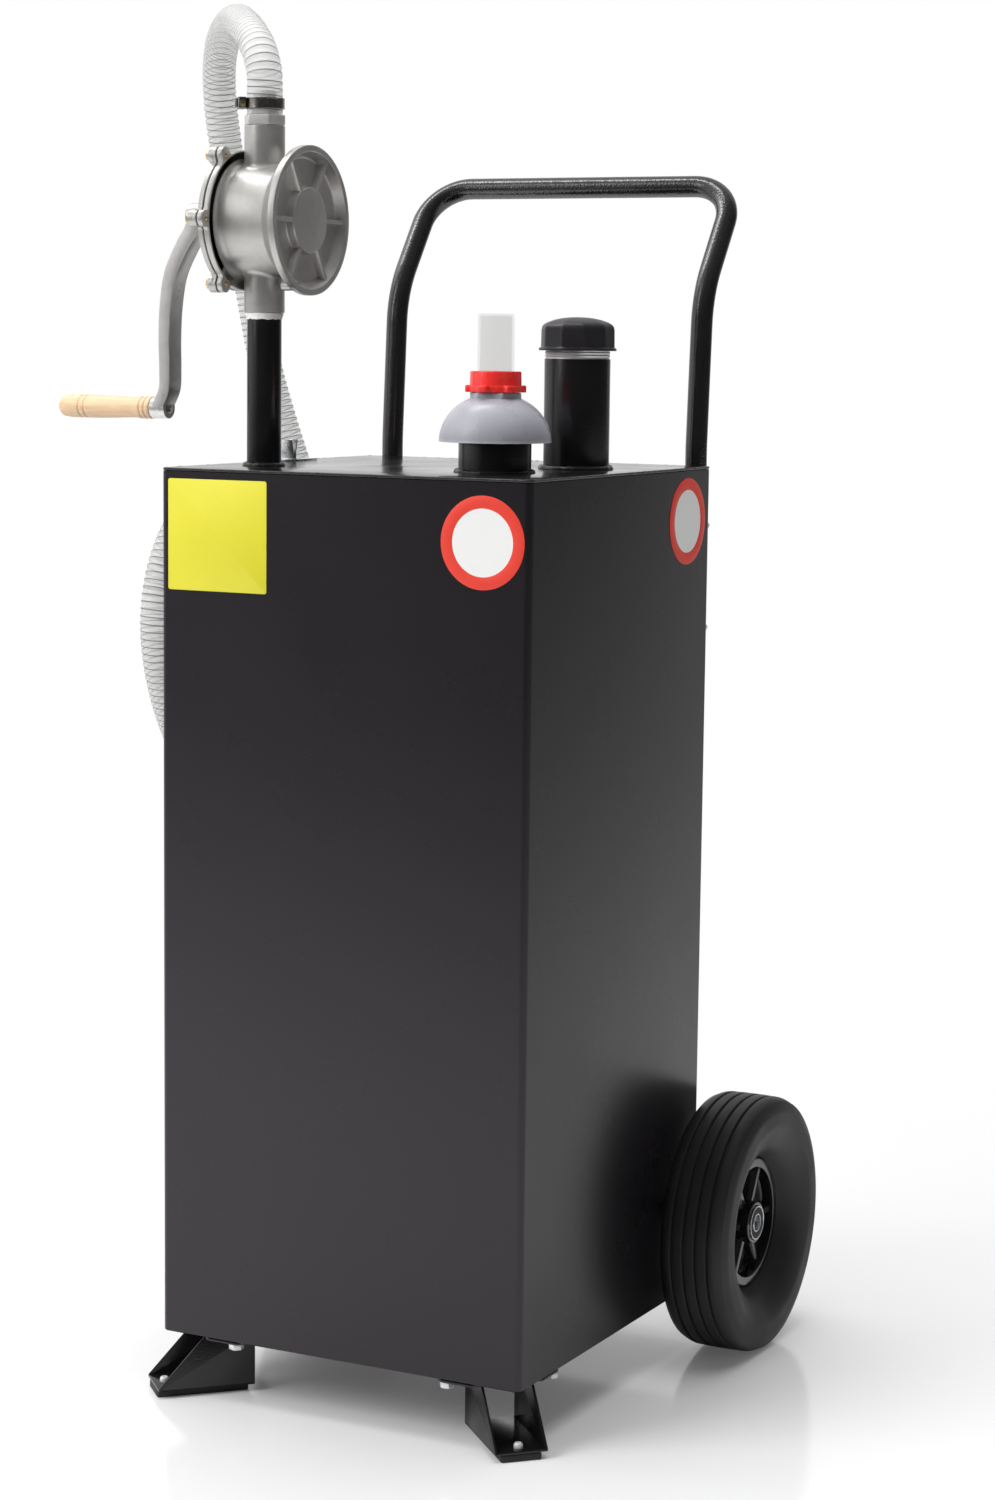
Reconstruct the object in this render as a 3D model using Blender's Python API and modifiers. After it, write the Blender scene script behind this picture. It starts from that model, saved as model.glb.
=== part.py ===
"""Fuel caddy: a steel tank on two wheels and two feet, with a hand pump.

Metres, +Z up, floor at zero. +X runs to the right along the front face,
-Y is the front, and the handle and the wheels are at the back.
"""

import math

import bmesh
import bpy
from mathutils import Matrix, Vector

# Clearances shared by the whole part
GAP = 0.0003
OVERRUN = 0.004
MERGE = 0.00005

# Tank
TANK_WIDTH = 0.396
TANK_DEPTH = 0.403
TANK_HEIGHT = 0.850
TANK_RIDE = 0.062
TANK_SHEET = 0.0025
TANK_CORNER = 0.007
TOP_SHEET = 0.003

# Weld nuts inside the tank, which take the foot bolts and the handle studs
BOSS_RADIUS = 0.009
BOSS_DEPTH = 0.013
BOSS_CAP = 0.003

# Places of the three pipes on the top plate
PUMP_X = 0.0575 - TANK_WIDTH / 2
PUMP_Y = 0.0945 - TANK_DEPTH / 2
GAUGE_X = TANK_WIDTH / 2 - 0.098
GAUGE_Y = 0.1175 - TANK_DEPTH / 2
FILL_X = TANK_WIDTH / 2 - 0.074
FILL_Y = 0.2435 - TANK_DEPTH / 2
PIPE_BELOW = 0.014

# Riser pipe, suction tube, strainer and thread tape
RISER_RADIUS = 0.0167
RISER_BORE = 0.0132
RISER_LENGTH = 0.147
RISER_THREAD = 0.0135
SUCTION_WALL = 0.002
SUCTION_LIFT = 0.036
STRAINER_WALL = 0.002
STRAINER_SOCKET = 0.016
STRAINER_LENGTH = 0.042
STRAINER_SLOT = 0.004
STRAINER_SLOTS = 3
TAPE_HEIGHT = 0.006
TAPE_THICK = 0.0022

# Fill neck and its cap
FILL_RADIUS = 0.0321
FILL_WALL = 0.0031
FILL_LENGTH = 0.133
FILL_THREAD = 0.0265
FILL_THREAD_CUT = 0.0008
CAP_SIDES = 10
CAP_RADIUS = 0.036
CAP_SKIRT = 0.0375
CAP_SKIRT_HEIGHT = 0.004
CAP_SIDE_HEIGHT = 0.021
CAP_DOME = 0.0068
CAP_THREAD_PLAY = 0.0005
# The cap's dome, as shares of its radius and of the dome's height
CAP_DOME_SHARES = ((0.00, 1.00), (0.45, 0.78), (0.80, 0.22), (0.92, -0.20))
CAP_FLAT_SHARE = 0.3
CAP_LIP_SHARE = 0.4
GASKET_HEIGHT = 0.0018
GASKET_WIDTH = 0.006

# Level gauge
NECK_RADIUS = 0.0345
NECK_WALL = 0.0055
NECK_LENGTH = 0.046
DOME_RADIUS = 0.053
DOME_RISE = 0.045
DOME_WALL = 0.0025
DOME_LIFT = 0.0296
DOME_POINTS = 5
PLUG_DEPTH = 0.010
HEX_RADIUS = 0.0255
HEX_OVERLAP_SHARE = 0.92
HEX_HEIGHT = 0.006
SPIGOT_RADIUS = 0.0203
SPIGOT_HEIGHT = 0.0075
NUT_RADIUS = 0.0245
NUT_HEIGHT = 0.0197
NUT_LUG = 0.004
NUT_LUG_WIDTH = 0.009
NUT_LUG_HEIGHT = 0.0065
NUT_LUGS = 6
SIGHT_RADIUS = 0.0176
SIGHT_WALL = 0.002
SIGHT_HEIGHT = 0.0658
SIGHT_FLANGE = 0.002
STEM_RADIUS = 0.0065
STEM_BORE = 0.0036
STEM_LENGTH = TANK_HEIGHT - 0.410
FORK_WIDTH = 0.016
FORK_HEIGHT = 0.032
ROD_RADIUS = 0.0030
BUTTON_RADIUS = 0.0085
BUTTON_HEIGHT = 0.011
ROD_FOOT_CLEAR = 0.004
PIVOT_RADIUS = 0.0025
PIVOT_DROP = 0.016
ARM_LENGTH = 0.285
ARM_THICK = 0.004
ARM_EYE = 0.006
FLOAT_RADIUS = 0.020
FLOAT_LENGTH = 0.044
# The float's profile, as shares of its radius and length
FLOAT_SHARES = ((0.0, 0.5), (0.8, 0.5), (1.0, 0.4), (1.0, -0.4), (0.8, -0.5), (0.0, -0.5))
FLOAT_START_ANGLE = math.radians(75)
FLOAT_HEADING = math.radians(136.7)

# Rotary vane pump. Lengths along its axis are measured from the riser's axis,
# towards the ribbed face at +X and towards the crank at -X.
SHAFT_OFFSET = 0.0045
FACE_RADIUS = 0.071
FACE_REACH = 0.053
FACE_RIM = 0.008
FACE_EDGE = 0.007
FACE_POCKET = 0.010
FACE_HUB = 0.032
HUB_SINK = 0.0025
RIB_THICK = 0.005
RIB_BARS = 3
FLARE_LENGTH = 0.018
FLARE_POINTS = 3
FLARE_POWER = 1.3
CASE_RADIUS = 0.0525
BORE_RADIUS = 0.044
BORE_FLOOR = 0.016
FLANGE_RADIUS = 0.067
FLANGE_THICK = 0.006
FLANGE_BACK = -0.0273
EAR_CIRCLE = 0.070
EAR_RADIUS = 0.0085
EARS = 6
EAR_BOSS = 0.0035
PORT_RADIUS = 0.0196
PORT_BORE = 0.013
PORT_UP = 0.090
PORT_DOWN = 0.0878
PORT_SOCKET = 0.014
COVER_THICK = 0.0055
COVER_BOSS_RADIUS = 0.017
COVER_BOSS_ROOT_SHARE = 1.35
COVER_BOSS = 0.018
SEAL_DEPTH = 0.006
SEAL_RADIUS = 0.0125
PAPER_THICK = 0.0006
PAPER_INSET = 0.002
PAPER_OUTER = 0.061
SHAFT_RADIUS = 0.008
SHAFT_END = -0.0830
SHAFT_SOCKET = 0.006
ROTOR_RADIUS = 0.0355
VANES = 4
VANE_THICK = 0.004
VANE_REACH = 0.0382
VANE_DEPTH = 0.018
BOLT_SHANK = 0.0029
BOLT_HEAD = 0.0055
BOLT_HEAD_HEIGHT = 0.004
BOLT_STICKS_OUT = 0.0015

# Crank: its centre line in the plane of the pump's axis, as reach along -X
# from the riser's axis and drop below the shaft
CRANK_LINE = (
    (0.0740, 0.000), (0.0780, 0.014), (0.0886, 0.030), (0.1014, 0.056),
    (0.1070, 0.088), (0.1084, 0.120), (0.1079, 0.148), (0.1090, 0.168),
    (0.1180, 0.186),
)
CRANK_TOP_THICK = 0.016
CRANK_END_THICK = 0.012
CRANK_WIDTH = 0.022
CRANK_STEPS = 2
CRANK_BOSS_RADIUS = 0.013
CRANK_BOSS_LENGTH = 0.018
PIN_BOSS_RADIUS = 0.0105
PIN_BOSS_LENGTH = 0.018
PIN_RADIUS = 0.004
PIN_RIVET = 0.0055
PIN_RIVET_HEIGHT = 0.0015
PIN_RIVET_SHARES = (0.7, 0.8)
SPOT_FACE_PLAY = 0.0012
PIN_HEAD = 0.0065
PIN_HEAD_SINK = 0.004
GRIP_LENGTH = 0.1075
GRIP_RADIUS = 0.0115
# The grip's radius from its free end, as shares of its length and of its radius
GRIP_SHARES = (
    (0.00, 0.72), (0.03, 0.92), (0.06, 0.94), (0.23, 1.002), (0.29, 1.007),
    (0.45, 0.985), (0.62, 0.936), (0.80, 0.872), (0.90, 0.96), (0.95, 0.96),
)
GRIP_NOSE = 0.003
GRIP_GROOVE = 0.0011
GRIP_GROOVE_WIDTH = 0.0018
GRIP_GROOVE_PLACES_SHARE = (0.23, 0.29, 0.90, 0.95)

# Hose fittings
NIPPLE_HEX_RADIUS = 0.0208
NIPPLE_HEX_HEIGHT = 0.0096
NIPPLE_SPIGOT = 0.012
NIPPLE_THREAD_SHARE = 0.78
NIPPLE_BORE = 0.0095
BARB_RADIUS = 0.0118
BARB_LENGTH = 0.023
BARB_STEP = 0.0012
BARB_RINGS = 3
BARB_PITCH_SHARE = 0.22
CLAMP_LIFT = 0.0055
CLAMP_HEIGHT = 0.0098
CLAMP_THICK = 0.0012
CLAMP_PLAY = 0.0007
CLAMP_BOX = (0.015, 0.009, 0.0115)
CLAMP_SCREW_RADIUS = 0.0036
CLAMP_SCREW_LENGTH = 0.023
CLAMP_HEADING = math.radians(222)

# Delivery hose
HOSE_RADIUS = 0.0175
HOSE_BORE = 0.0136
HOSE_RIB_PITCH = 0.0200
HOSE_RIB_SHARE = 0.94
HOSE_BORE_STEP = 0.034
HOSE_CURVE_STEPS = 12
# Its route, chosen by hand, as steps away from the top of the pump
HOSE_OFFSETS = (
    (0.0000, 0.0000, 0.0000), (0.0000, 0.0000, 0.0350),
    (-0.0105, 0.0075, 0.0606), (-0.0335, 0.0295, 0.0786),
    (-0.0585, 0.0580, 0.0896), (-0.0865, 0.0895, 0.0981),
    (-0.1185, 0.1250, 0.0966), (-0.1475, 0.1580, 0.0836),
    (-0.1655, 0.1810, 0.0606), (-0.1730, 0.1950, 0.0286),
    (-0.1745, 0.2070, -0.0114), (-0.1715, 0.2180, -0.0594),
    (-0.1655, 0.2270, -0.1124), (-0.1575, 0.2350, -0.1724),
    (-0.1455, 0.2410, -0.2424), (-0.1295, 0.2455, -0.2994),
    (-0.1105, 0.2500, -0.3574), (-0.0935, 0.2540, -0.4174),
    (-0.0810, 0.2540, -0.4824), (-0.0760, 0.2440, -0.5514),
    (-0.0760, 0.2190, -0.6144), (-0.0760, 0.1730, -0.6614),
    (-0.0760, 0.1140, -0.6834), (-0.0760, 0.0550, -0.6754),
    (-0.0760, 0.0060, -0.6444), (-0.0760, -0.0330, -0.5984),
    (-0.0760, -0.0595, -0.5484), (-0.0760, -0.0715, -0.4964),
    (-0.0763, -0.0645, -0.4484), (-0.0767, -0.0410, -0.4084),
    (-0.0775, -0.0040, -0.3794), (-0.0790, 0.0430, -0.3634),
    (-0.0825, 0.0920, -0.3614), (-0.0905, 0.1380, -0.3744),
    (-0.1005, 0.1755, -0.4024), (-0.1095, 0.1995, -0.4444),
    (-0.1150, 0.2080, -0.4974), (-0.1155, 0.2050, -0.5574),
    (-0.1155, 0.1960, -0.6274), (-0.1155, 0.1845, -0.7074),
    (-0.1155, 0.1720, -0.7874), (-0.1155, 0.1610, -0.8624),
    (-0.1155, 0.1530, -0.9374), (-0.1155, 0.1490, -1.0054),
    (-0.1155, 0.1490, -1.0534),
)

# Metal spout on the hose's free end
SPOUT_RADIUS = 0.0123
SPOUT_WALL = 0.0018
SPOUT_INSIDE = 0.026
SPOUT_DROP = 0.050
SPOUT_BEND = 0.030
SPOUT_NOSE = 0.022
SPOUT_ANGLE = math.radians(45)
SPOUT_ARC_STEPS = 4
SPOUT_CLAMP_LIFT = 0.014

# Hook that the hose hangs from, and the spring clip on the top plate
HOOK_SHEET = 0.003
HOOK_REACH = 0.060
HOOK_PLATE = 0.058
HOOK_LIP = 0.022
HOOK_WIDTH = 0.030
HOOK_Y = PUMP_Y + 0.077
HOOK_TOP = TANK_RIDE + TANK_HEIGHT - 0.0446
CLIP_X = 0.014 - TANK_WIDTH / 2
CLIP_Y = PUMP_Y + 0.135
CLIP_LENGTH = 0.060
CLIP_WIDTH = 0.014
CLIP_SHEET = 0.0015
CLIP_PRONG_RISE = 0.021
CLIP_WAIST_SHARE = 0.45
CLIP_PRONG_SPREAD = 0.006
CLIP_THROAT = 0.0035
CLIP_PRONG_Y = -0.016

# Push handle
TUBE_RADIUS = 0.011
HANDLE_HALF_SPAN = TANK_WIDTH / 2 - 0.0218
HANDLE_FOOT = TANK_RIDE + TANK_HEIGHT - 0.207
HANDLE_LEAN_START = HANDLE_FOOT + 0.225
HANDLE_LEAN = 0.0095
HANDLE_BEND_Z = HANDLE_FOOT + 0.379
HANDLE_TOP_Y = TANK_DEPTH / 2 + 0.1001
HANDLE_TOP_Z = HANDLE_FOOT + 0.490
HANDLE_LEAN_RADIUS = 0.150
HANDLE_BEND_RADIUS = 0.110
HANDLE_CORNER_RADIUS = 0.046
HANDLE_ARC_STEPS = 3
HANDLE_SIDES_STEP = 3
STUD_RADIUS = 0.004
STUD_LEVELS = (HANDLE_FOOT + 0.040, HANDLE_FOOT + 0.1445)
STUD_INSET = 0.008
STUD_TAIL = 0.010
WASHER_RADIUS = 0.0085
WASHER_THICK = 0.0016
HEX_NUT_RADIUS = 0.0075
HEX_NUT_HEIGHT = 0.0065

# Front feet, set at 45 degrees under the front corners. Lengths run along
# the diagonal from the tank's corner: nose outwards, heel inwards
FOOT_WIDTH = 0.052
FOOT_SHEET = 0.0025
FOOT_NOSE = 0.009
FOOT_HEEL = 0.088
FOOT_FLANGE = 0.033
FOOT_SLOPE_RUN = 0.0464
FOOT_SLOPE_RISE = 0.0507
PAD_HEIGHT = 0.007
PAD_WIDTH = 0.040
PAD_LENGTH = 0.092
PAD_SCREW_HEAD = 0.0045
PAD_SCREW_HEIGHT = 0.005
PAD_SCREW_INSET = 0.011
FOOT_BOLT_U = -0.060
FOOT_BOLT_V = 0.047
FOOT_BOLT_RADIUS = 0.004
FOOT_BOLT_HEAD = 0.0075
FOOT_BOLT_HEAD_HEIGHT = 0.0055
FOOT_BOLT_INSET = 0.008

# Wheels. Lengths along the axle are measured from the tyre's middle, outwards
WHEEL_X = TANK_WIDTH / 2 + 0.042
WHEEL_Y = TANK_DEPTH / 2 + 0.0175
TYRE_RADIUS = 0.132
TYRE_WIDTH = 0.074
TREAD_HALF = 0.026
BEAD_SHARE = 0.472
BEAD_RADIUS = TYRE_RADIUS * BEAD_SHARE
BEAD_HALF = 0.0098
GROOVE_DEPTH = 0.003
GROOVE_WIDTH = 0.0032
GROOVE_PLACES_SHARE = (0.75, 0.25, -0.25, -0.75)
# The sidewall's points, each as a share of the half width and of the radius
SIDEWALL_SHARES = (
    (0.90, 0.970), (1.00, 0.880), (0.98, 0.760), (0.72, 0.605), (0.265, 0.505),
)
RIM_LIP_SHARE = 0.5
RIM_LIP = TYRE_RADIUS * RIM_LIP_SHARE
RIM_LIP_THICK = 0.003
RIM_HALF = 0.0133
RIM_WALL = 0.005
WEB_THICK = 0.004
RIM_RIBS = 3
RIM_RIB_THICK = 0.004
RIM_RIB_INSET = 0.003
HUB_RADIUS = 0.0215
HUB_OUTER = 0.0176
HUB_INNER = -0.028
BEARING_RADIUS = 0.0175
BEARING_BORE = 0.0082
BEARING_WIDTH = 0.011
BEARING_PROUD = 0.002
RACE_WIDTH = 0.0030
RACE_SINK = 0.0010
AXLE_RADIUS = 0.0079
AXLE_RECESS = 0.004
LUG_X = TANK_WIDTH / 2 - 0.058
LUG_THICK = 0.004
LUG_RADIUS = 0.018
LUG_ARC_STEPS = 6
LUG_ROOT_SHARE = 1.4

# Sides of the round pieces, all multiples of four so that fits line up
WHEEL_ROUND = 20
PUMP_ROUND = 20
ROUND = 20
SMALL_ROUND = 12
TINY_ROUND = 8

# Heights worked out from the driving sizes
TOP_Z = TANK_RIDE + TANK_HEIGHT
PLATE_Z = TOP_Z - TOP_SHEET
SHELL_TOP = PLATE_Z - GAP
FLOOR_Z = TANK_RIDE + TANK_SHEET
RISER_TOP = TOP_Z + RISER_LENGTH + RISER_THREAD
PORT_BOTTOM = TOP_Z + RISER_LENGTH + GAP
PUMP_Z = PORT_BOTTOM + PORT_DOWN
SHAFT_Z = PUMP_Z + SHAFT_OFFSET
PORT_TOP = PUMP_Z + PORT_UP
HOSE_START = PORT_TOP + GAP + NIPPLE_HEX_HEIGHT + GAP
HOSE_ROUTE = [(PUMP_X + x, PUMP_Y + y, HOSE_START + z) for x, y, z in HOSE_OFFSETS]
COVER_FACE = FLANGE_BACK - GAP - PAPER_THICK - GAP
COVER_BACK = COVER_FACE - COVER_THICK
BOSS_END = COVER_BACK - COVER_BOSS
PIN_DROP = CRANK_LINE[-1][1]
PIN_REACH = CRANK_LINE[-1][0]
GRIP_START = -(PIN_REACH + PIN_BOSS_LENGTH / 2 + GAP)
FILL_TOP = TOP_Z + FILL_LENGTH
CAP_Z = FILL_TOP - FILL_THREAD + CAP_SKIRT_HEIGHT * 2
DOME_Z = TOP_Z + DOME_LIFT
HEX_Z = DOME_Z + DOME_RISE * math.sqrt(1 - (HEX_RADIUS / DOME_RADIUS) ** 2)
NUT_Z = HEX_Z + HEX_HEIGHT + GAP
SIGHT_Z = HEX_Z + HEX_HEIGHT + SPIGOT_HEIGHT + GAP
STEM_TOP = DOME_Z - PLUG_DEPTH
PIVOT_Z = STEM_TOP - STEM_LENGTH - PIVOT_DROP
WHEEL_Z = TYRE_RADIUS
LEG_Y = TANK_DEPTH / 2 + GAP + TUBE_RADIUS
FOOT_TOP = TANK_RIDE - GAP
FOOT_BASE = PAD_HEIGHT + GAP
DIAGONAL = math.sqrt(0.5)

# The origin is under the middle of the part's box, without the hose
X_LOW = PUMP_X + GRIP_START - GRIP_LENGTH
X_HIGH = WHEEL_X + TYRE_WIDTH / 2
Y_LOW = -TANK_DEPTH / 2 - (FOOT_NOSE + FOOT_WIDTH / 2) * DIAGONAL
Y_HIGH = WHEEL_Y + TYRE_RADIUS
CENTRE_X = (X_LOW + X_HIGH) / 2
CENTRE_Y = (Y_LOW + Y_HIGH) / 2

ALONG_X = (0, math.pi / 2, 0)
ALONG_Y = (math.pi / 2, 0, 0)


def clear_scene():
    """Remove whatever the file holds."""
    for obj in list(bpy.data.objects):
        bpy.data.objects.remove(obj, do_unlink=True)


def collection(name):
    """A new collection in the scene."""
    group = bpy.data.collections.new(name)
    bpy.context.scene.collection.children.link(group)
    return group


def material(name, colour, roughness, metallic=0.0, transmission=0.0):
    """A Principled material."""
    mat = bpy.data.materials.new(name)
    mat.use_nodes = True
    shader = mat.node_tree.nodes["Principled BSDF"]
    shader.inputs["Base Color"].default_value = (*colour, 1.0)
    shader.inputs["Roughness"].default_value = roughness
    shader.inputs["Metallic"].default_value = metallic
    shader.inputs["Transmission Weight"].default_value = transmission
    return mat


clear_scene()
PARTS = collection("fuel_caddy")
CUTTERS = collection("cutters")
ROOT = bpy.data.objects.new("fuel_caddy_origin", None)
ROOT.location = (-CENTRE_X, -CENTRE_Y, 0)
PARTS.objects.link(ROOT)

BLACK_COAT = material("black_powder_coat", (0.012, 0.011, 0.012), 0.42)
CAST = material("cast_aluminium", (0.48, 0.47, 0.45), 0.38, 0.9)
PLATED = material("zinc_plated_steel", (0.62, 0.63, 0.65), 0.30, 1.0)
BRASS = material("brass", (0.66, 0.48, 0.22), 0.35, 1.0)
BLACK_PLASTIC = material("black_plastic", (0.018, 0.017, 0.018), 0.50)
GREY_PLASTIC = material("grey_plastic", (0.32, 0.32, 0.36), 0.45)
RED_PLASTIC = material("red_plastic", (0.80, 0.02, 0.02), 0.35)
CLEAR_PLASTIC = material("clear_plastic", (0.86, 0.87, 0.86), 0.12, 0.0, 0.9)
HOSE_PLASTIC = material("clear_hose", (0.80, 0.82, 0.81), 0.25, 0.0, 0.6)
RUBBER = material("rubber", (0.016, 0.015, 0.016), 0.75)
WOOD = material("wood", (0.80, 0.55, 0.28), 0.50)
TAPE = material("thread_tape", (0.90, 0.90, 0.89), 0.60)
RIM_BLACK = material("rim_black", (0.010, 0.010, 0.011), 0.30)
CARBON = material("vane_carbon", (0.06, 0.06, 0.06), 0.60)
PAPER = material("gasket_paper", (0.30, 0.22, 0.14), 0.85)


def place(obj, location, rotation=(0, 0, 0), mat=None):
    """Put an object in the part's frame; one without a material is a tool."""
    obj.parent = ROOT
    obj.location = location
    obj.rotation_euler = rotation
    if mat is None:
        CUTTERS.objects.link(obj)
        obj.hide_render = True
        obj.display_type = "WIRE"
    else:
        PARTS.objects.link(obj)
        obj.data.materials.append(mat)
    return obj


def smooth(mesh):
    """Shade round faces smooth and keep the sharp edges."""
    mesh.shade_smooth()
    mesh.set_sharp_from_angle(angle=math.radians(35))


def from_bmesh(name, bm, location, rotation=(0, 0, 0), mat=None):
    """An object that holds the given bmesh."""
    mesh = bpy.data.meshes.new(name)
    bm.normal_update()
    bm.to_mesh(mesh)
    bm.free()
    smooth(mesh)
    return place(bpy.data.objects.new(name, mesh), location, rotation, mat)


def box(name, size, location, rotation=(0, 0, 0), mat=None, offset=(0, 0, 0)):
    """A box of the given size, its centre moved by offset in its own frame."""
    bm = bmesh.new()
    bmesh.ops.create_cube(bm, size=1)
    bmesh.ops.scale(bm, vec=size, verts=bm.verts)
    bmesh.ops.translate(bm, vec=offset, verts=bm.verts)
    return from_bmesh(name, bm, location, rotation, mat)


def add_rod(bm, radius, low, high, sides, centre=(0, 0), turn=0.0):
    """Add a closed cylinder or prism along Z to a bmesh."""
    matrix = Matrix.Translation((centre[0], centre[1], (low + high) / 2)) @ Matrix.Rotation(turn, 4, "Z")
    bmesh.ops.create_cone(
        bm, cap_ends=True, segments=sides, radius1=radius, radius2=radius,
        depth=high - low, matrix=matrix)


def rod(name, radius, low, high, location, rotation=(0, 0, 0), mat=None, sides=ROUND, turn=0.0):
    """A closed cylinder or prism along its own Z."""
    bm = bmesh.new()
    add_rod(bm, radius, low, high, sides, turn=turn)
    return from_bmesh(name, bm, location, rotation, mat)


def turned(name, profile, location, rotation=(0, 0, 0), mat=None, sides=ROUND, ring=False):
    """A profile of (radius, height) points turned about Z, outer side downwards."""
    bm = bmesh.new()
    points = [bm.verts.new((r, 0, z)) for r, z in profile]
    for a, b in zip(points, points[1:]):
        bm.edges.new((a, b))
    if ring:
        bm.edges.new((points[-1], points[0]))
    obj = from_bmesh(name, bm, location, rotation, mat)
    screw = obj.modifiers.new("Turn", "SCREW")
    screw.steps = sides
    screw.render_steps = sides
    screw.use_merge_vertices = True
    screw.merge_threshold = MERGE
    screw.use_smooth_shade = True
    return obj


def ring(name, inner, outer, low, high, location, rotation=(0, 0, 0), mat=None, sides=ROUND):
    """A plain ring about its own Z."""
    profile = ((outer, high), (outer, low), (inner, low), (inner, high))
    return turned(name, profile, location, rotation, mat, sides, ring=True)


def combine(target, tool, operation="DIFFERENCE"):
    """Cut the target with a tool, or join the tool to it."""
    step = target.modifiers.new(operation.title() + " " + tool.name, "BOOLEAN")
    step.operation = operation
    step.object = tool


def plate(name, outline, thickness, location, rotation=(0, 0, 0), mat=None):
    """A flat outline in the object's XY plane, extruded about that plane."""
    curve = bpy.data.curves.new(name, "CURVE")
    curve.dimensions = "2D"
    curve.fill_mode = "BOTH"
    curve.extrude = thickness / 2
    spline = curve.splines.new("POLY")
    spline.points.add(len(outline) - 1)
    for point, (x, y) in zip(spline.points, outline):
        point.co = (x, y, 0, 1)
    spline.use_cyclic_u = True
    obj = bpy.data.objects.new(name, curve)
    place(obj, location, rotation, mat)
    return as_mesh(obj)


def tube(name, points, radius, location, mat=None, resolution=3, radii=None):
    """A closed round rod along a list of points."""
    curve = bpy.data.curves.new(name, "CURVE")
    curve.dimensions = "3D"
    curve.bevel_depth = radius
    curve.bevel_resolution = resolution
    curve.use_fill_caps = True
    spline = curve.splines.new("POLY")
    spline.points.add(len(points) - 1)
    for i, point in enumerate(points):
        spline.points[i].co = (*point, 1)
        spline.points[i].radius = radii[i] if radii else 1.0
    obj = bpy.data.objects.new(name, curve)
    place(obj, location, (0, 0, 0), mat)
    return as_mesh(obj)


def as_mesh(obj):
    """Swap a curve object for a mesh object with its caps welded on."""
    name = obj.name
    bpy.context.view_layer.update()
    graph = bpy.context.evaluated_depsgraph_get()
    mesh = bpy.data.meshes.new_from_object(obj.evaluated_get(graph))
    bm = bmesh.new()
    bm.from_mesh(mesh)
    bmesh.ops.remove_doubles(bm, verts=bm.verts, dist=MERGE)
    bmesh.ops.recalc_face_normals(bm, faces=bm.faces)
    bm.to_mesh(mesh)
    bm.free()
    smooth(mesh)
    solid = bpy.data.objects.new(name + "_solid", mesh)
    for group in obj.users_collection:
        group.objects.link(solid)
    solid.parent = obj.parent
    solid.location = obj.location
    solid.rotation_euler = obj.rotation_euler
    solid.hide_render = obj.hide_render
    solid.display_type = obj.display_type
    bpy.data.objects.remove(obj, do_unlink=True)
    solid.name = name
    return solid


def arc(centre, radius, start, end, steps):
    """Points of an arc in a plane, both ends included."""
    turns = [start + (end - start) * i / steps for i in range(steps + 1)]
    return [(centre[0] + radius * math.cos(a), centre[1] + radius * math.sin(a)) for a in turns]


def rounded_path(corners, radii, steps):
    """A path through corner points, each inner corner turned into an arc."""
    corners = [Vector(c) for c in corners]
    path = [corners[0]]
    for before, here, after, radius in zip(corners, corners[1:], corners[2:], radii):
        to_before = (before - here).normalized()
        to_after = (after - here).normalized()
        half = to_before.angle(to_after) / 2
        centre = here + (to_before + to_after).normalized() * radius / math.sin(half)
        start = here + to_before * radius / math.tan(half) - centre
        end = here + to_after * radius / math.tan(half) - centre
        axis = start.cross(end).normalized()
        sweep = start.angle(end)
        for i in range(steps + 1):
            path.append(centre + Matrix.Rotation(sweep * i / steps, 3, axis) @ start)
    path.append(corners[-1])
    return path


def smooth_points(points, steps):
    """Points of a smooth curve through the given points."""
    points = [Vector(p) for p in points]
    ends = [2 * points[0] - points[1]] + points + [2 * points[-1] - points[-2]]
    curve = []
    for a, b, c, d in zip(ends, ends[1:], ends[2:], ends[3:]):
        for i in range(steps):
            t = i / steps
            curve.append(
                ((2 * b) + (c - a) * t + (2 * a - 5 * b + 4 * c - d) * t * t
                 + (3 * b - a - 3 * c + d) * t * t * t) / 2)
    curve.append(points[-1])
    return curve


def even_points(curve, count):
    """The same curve as evenly spaced points."""
    lengths = [0.0]
    for a, b in zip(curve, curve[1:]):
        lengths.append(lengths[-1] + (b - a).length)
    spaced = []
    j = 0
    for i in range(count + 1):
        want = lengths[-1] * i / count
        while j < len(curve) - 2 and lengths[j + 1] < want:
            j += 1
        share = (want - lengths[j]) / (lengths[j + 1] - lengths[j])
        spaced.append(curve[j].lerp(curve[j + 1], min(share, 1)))
    return spaced, lengths[-1]


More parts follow.
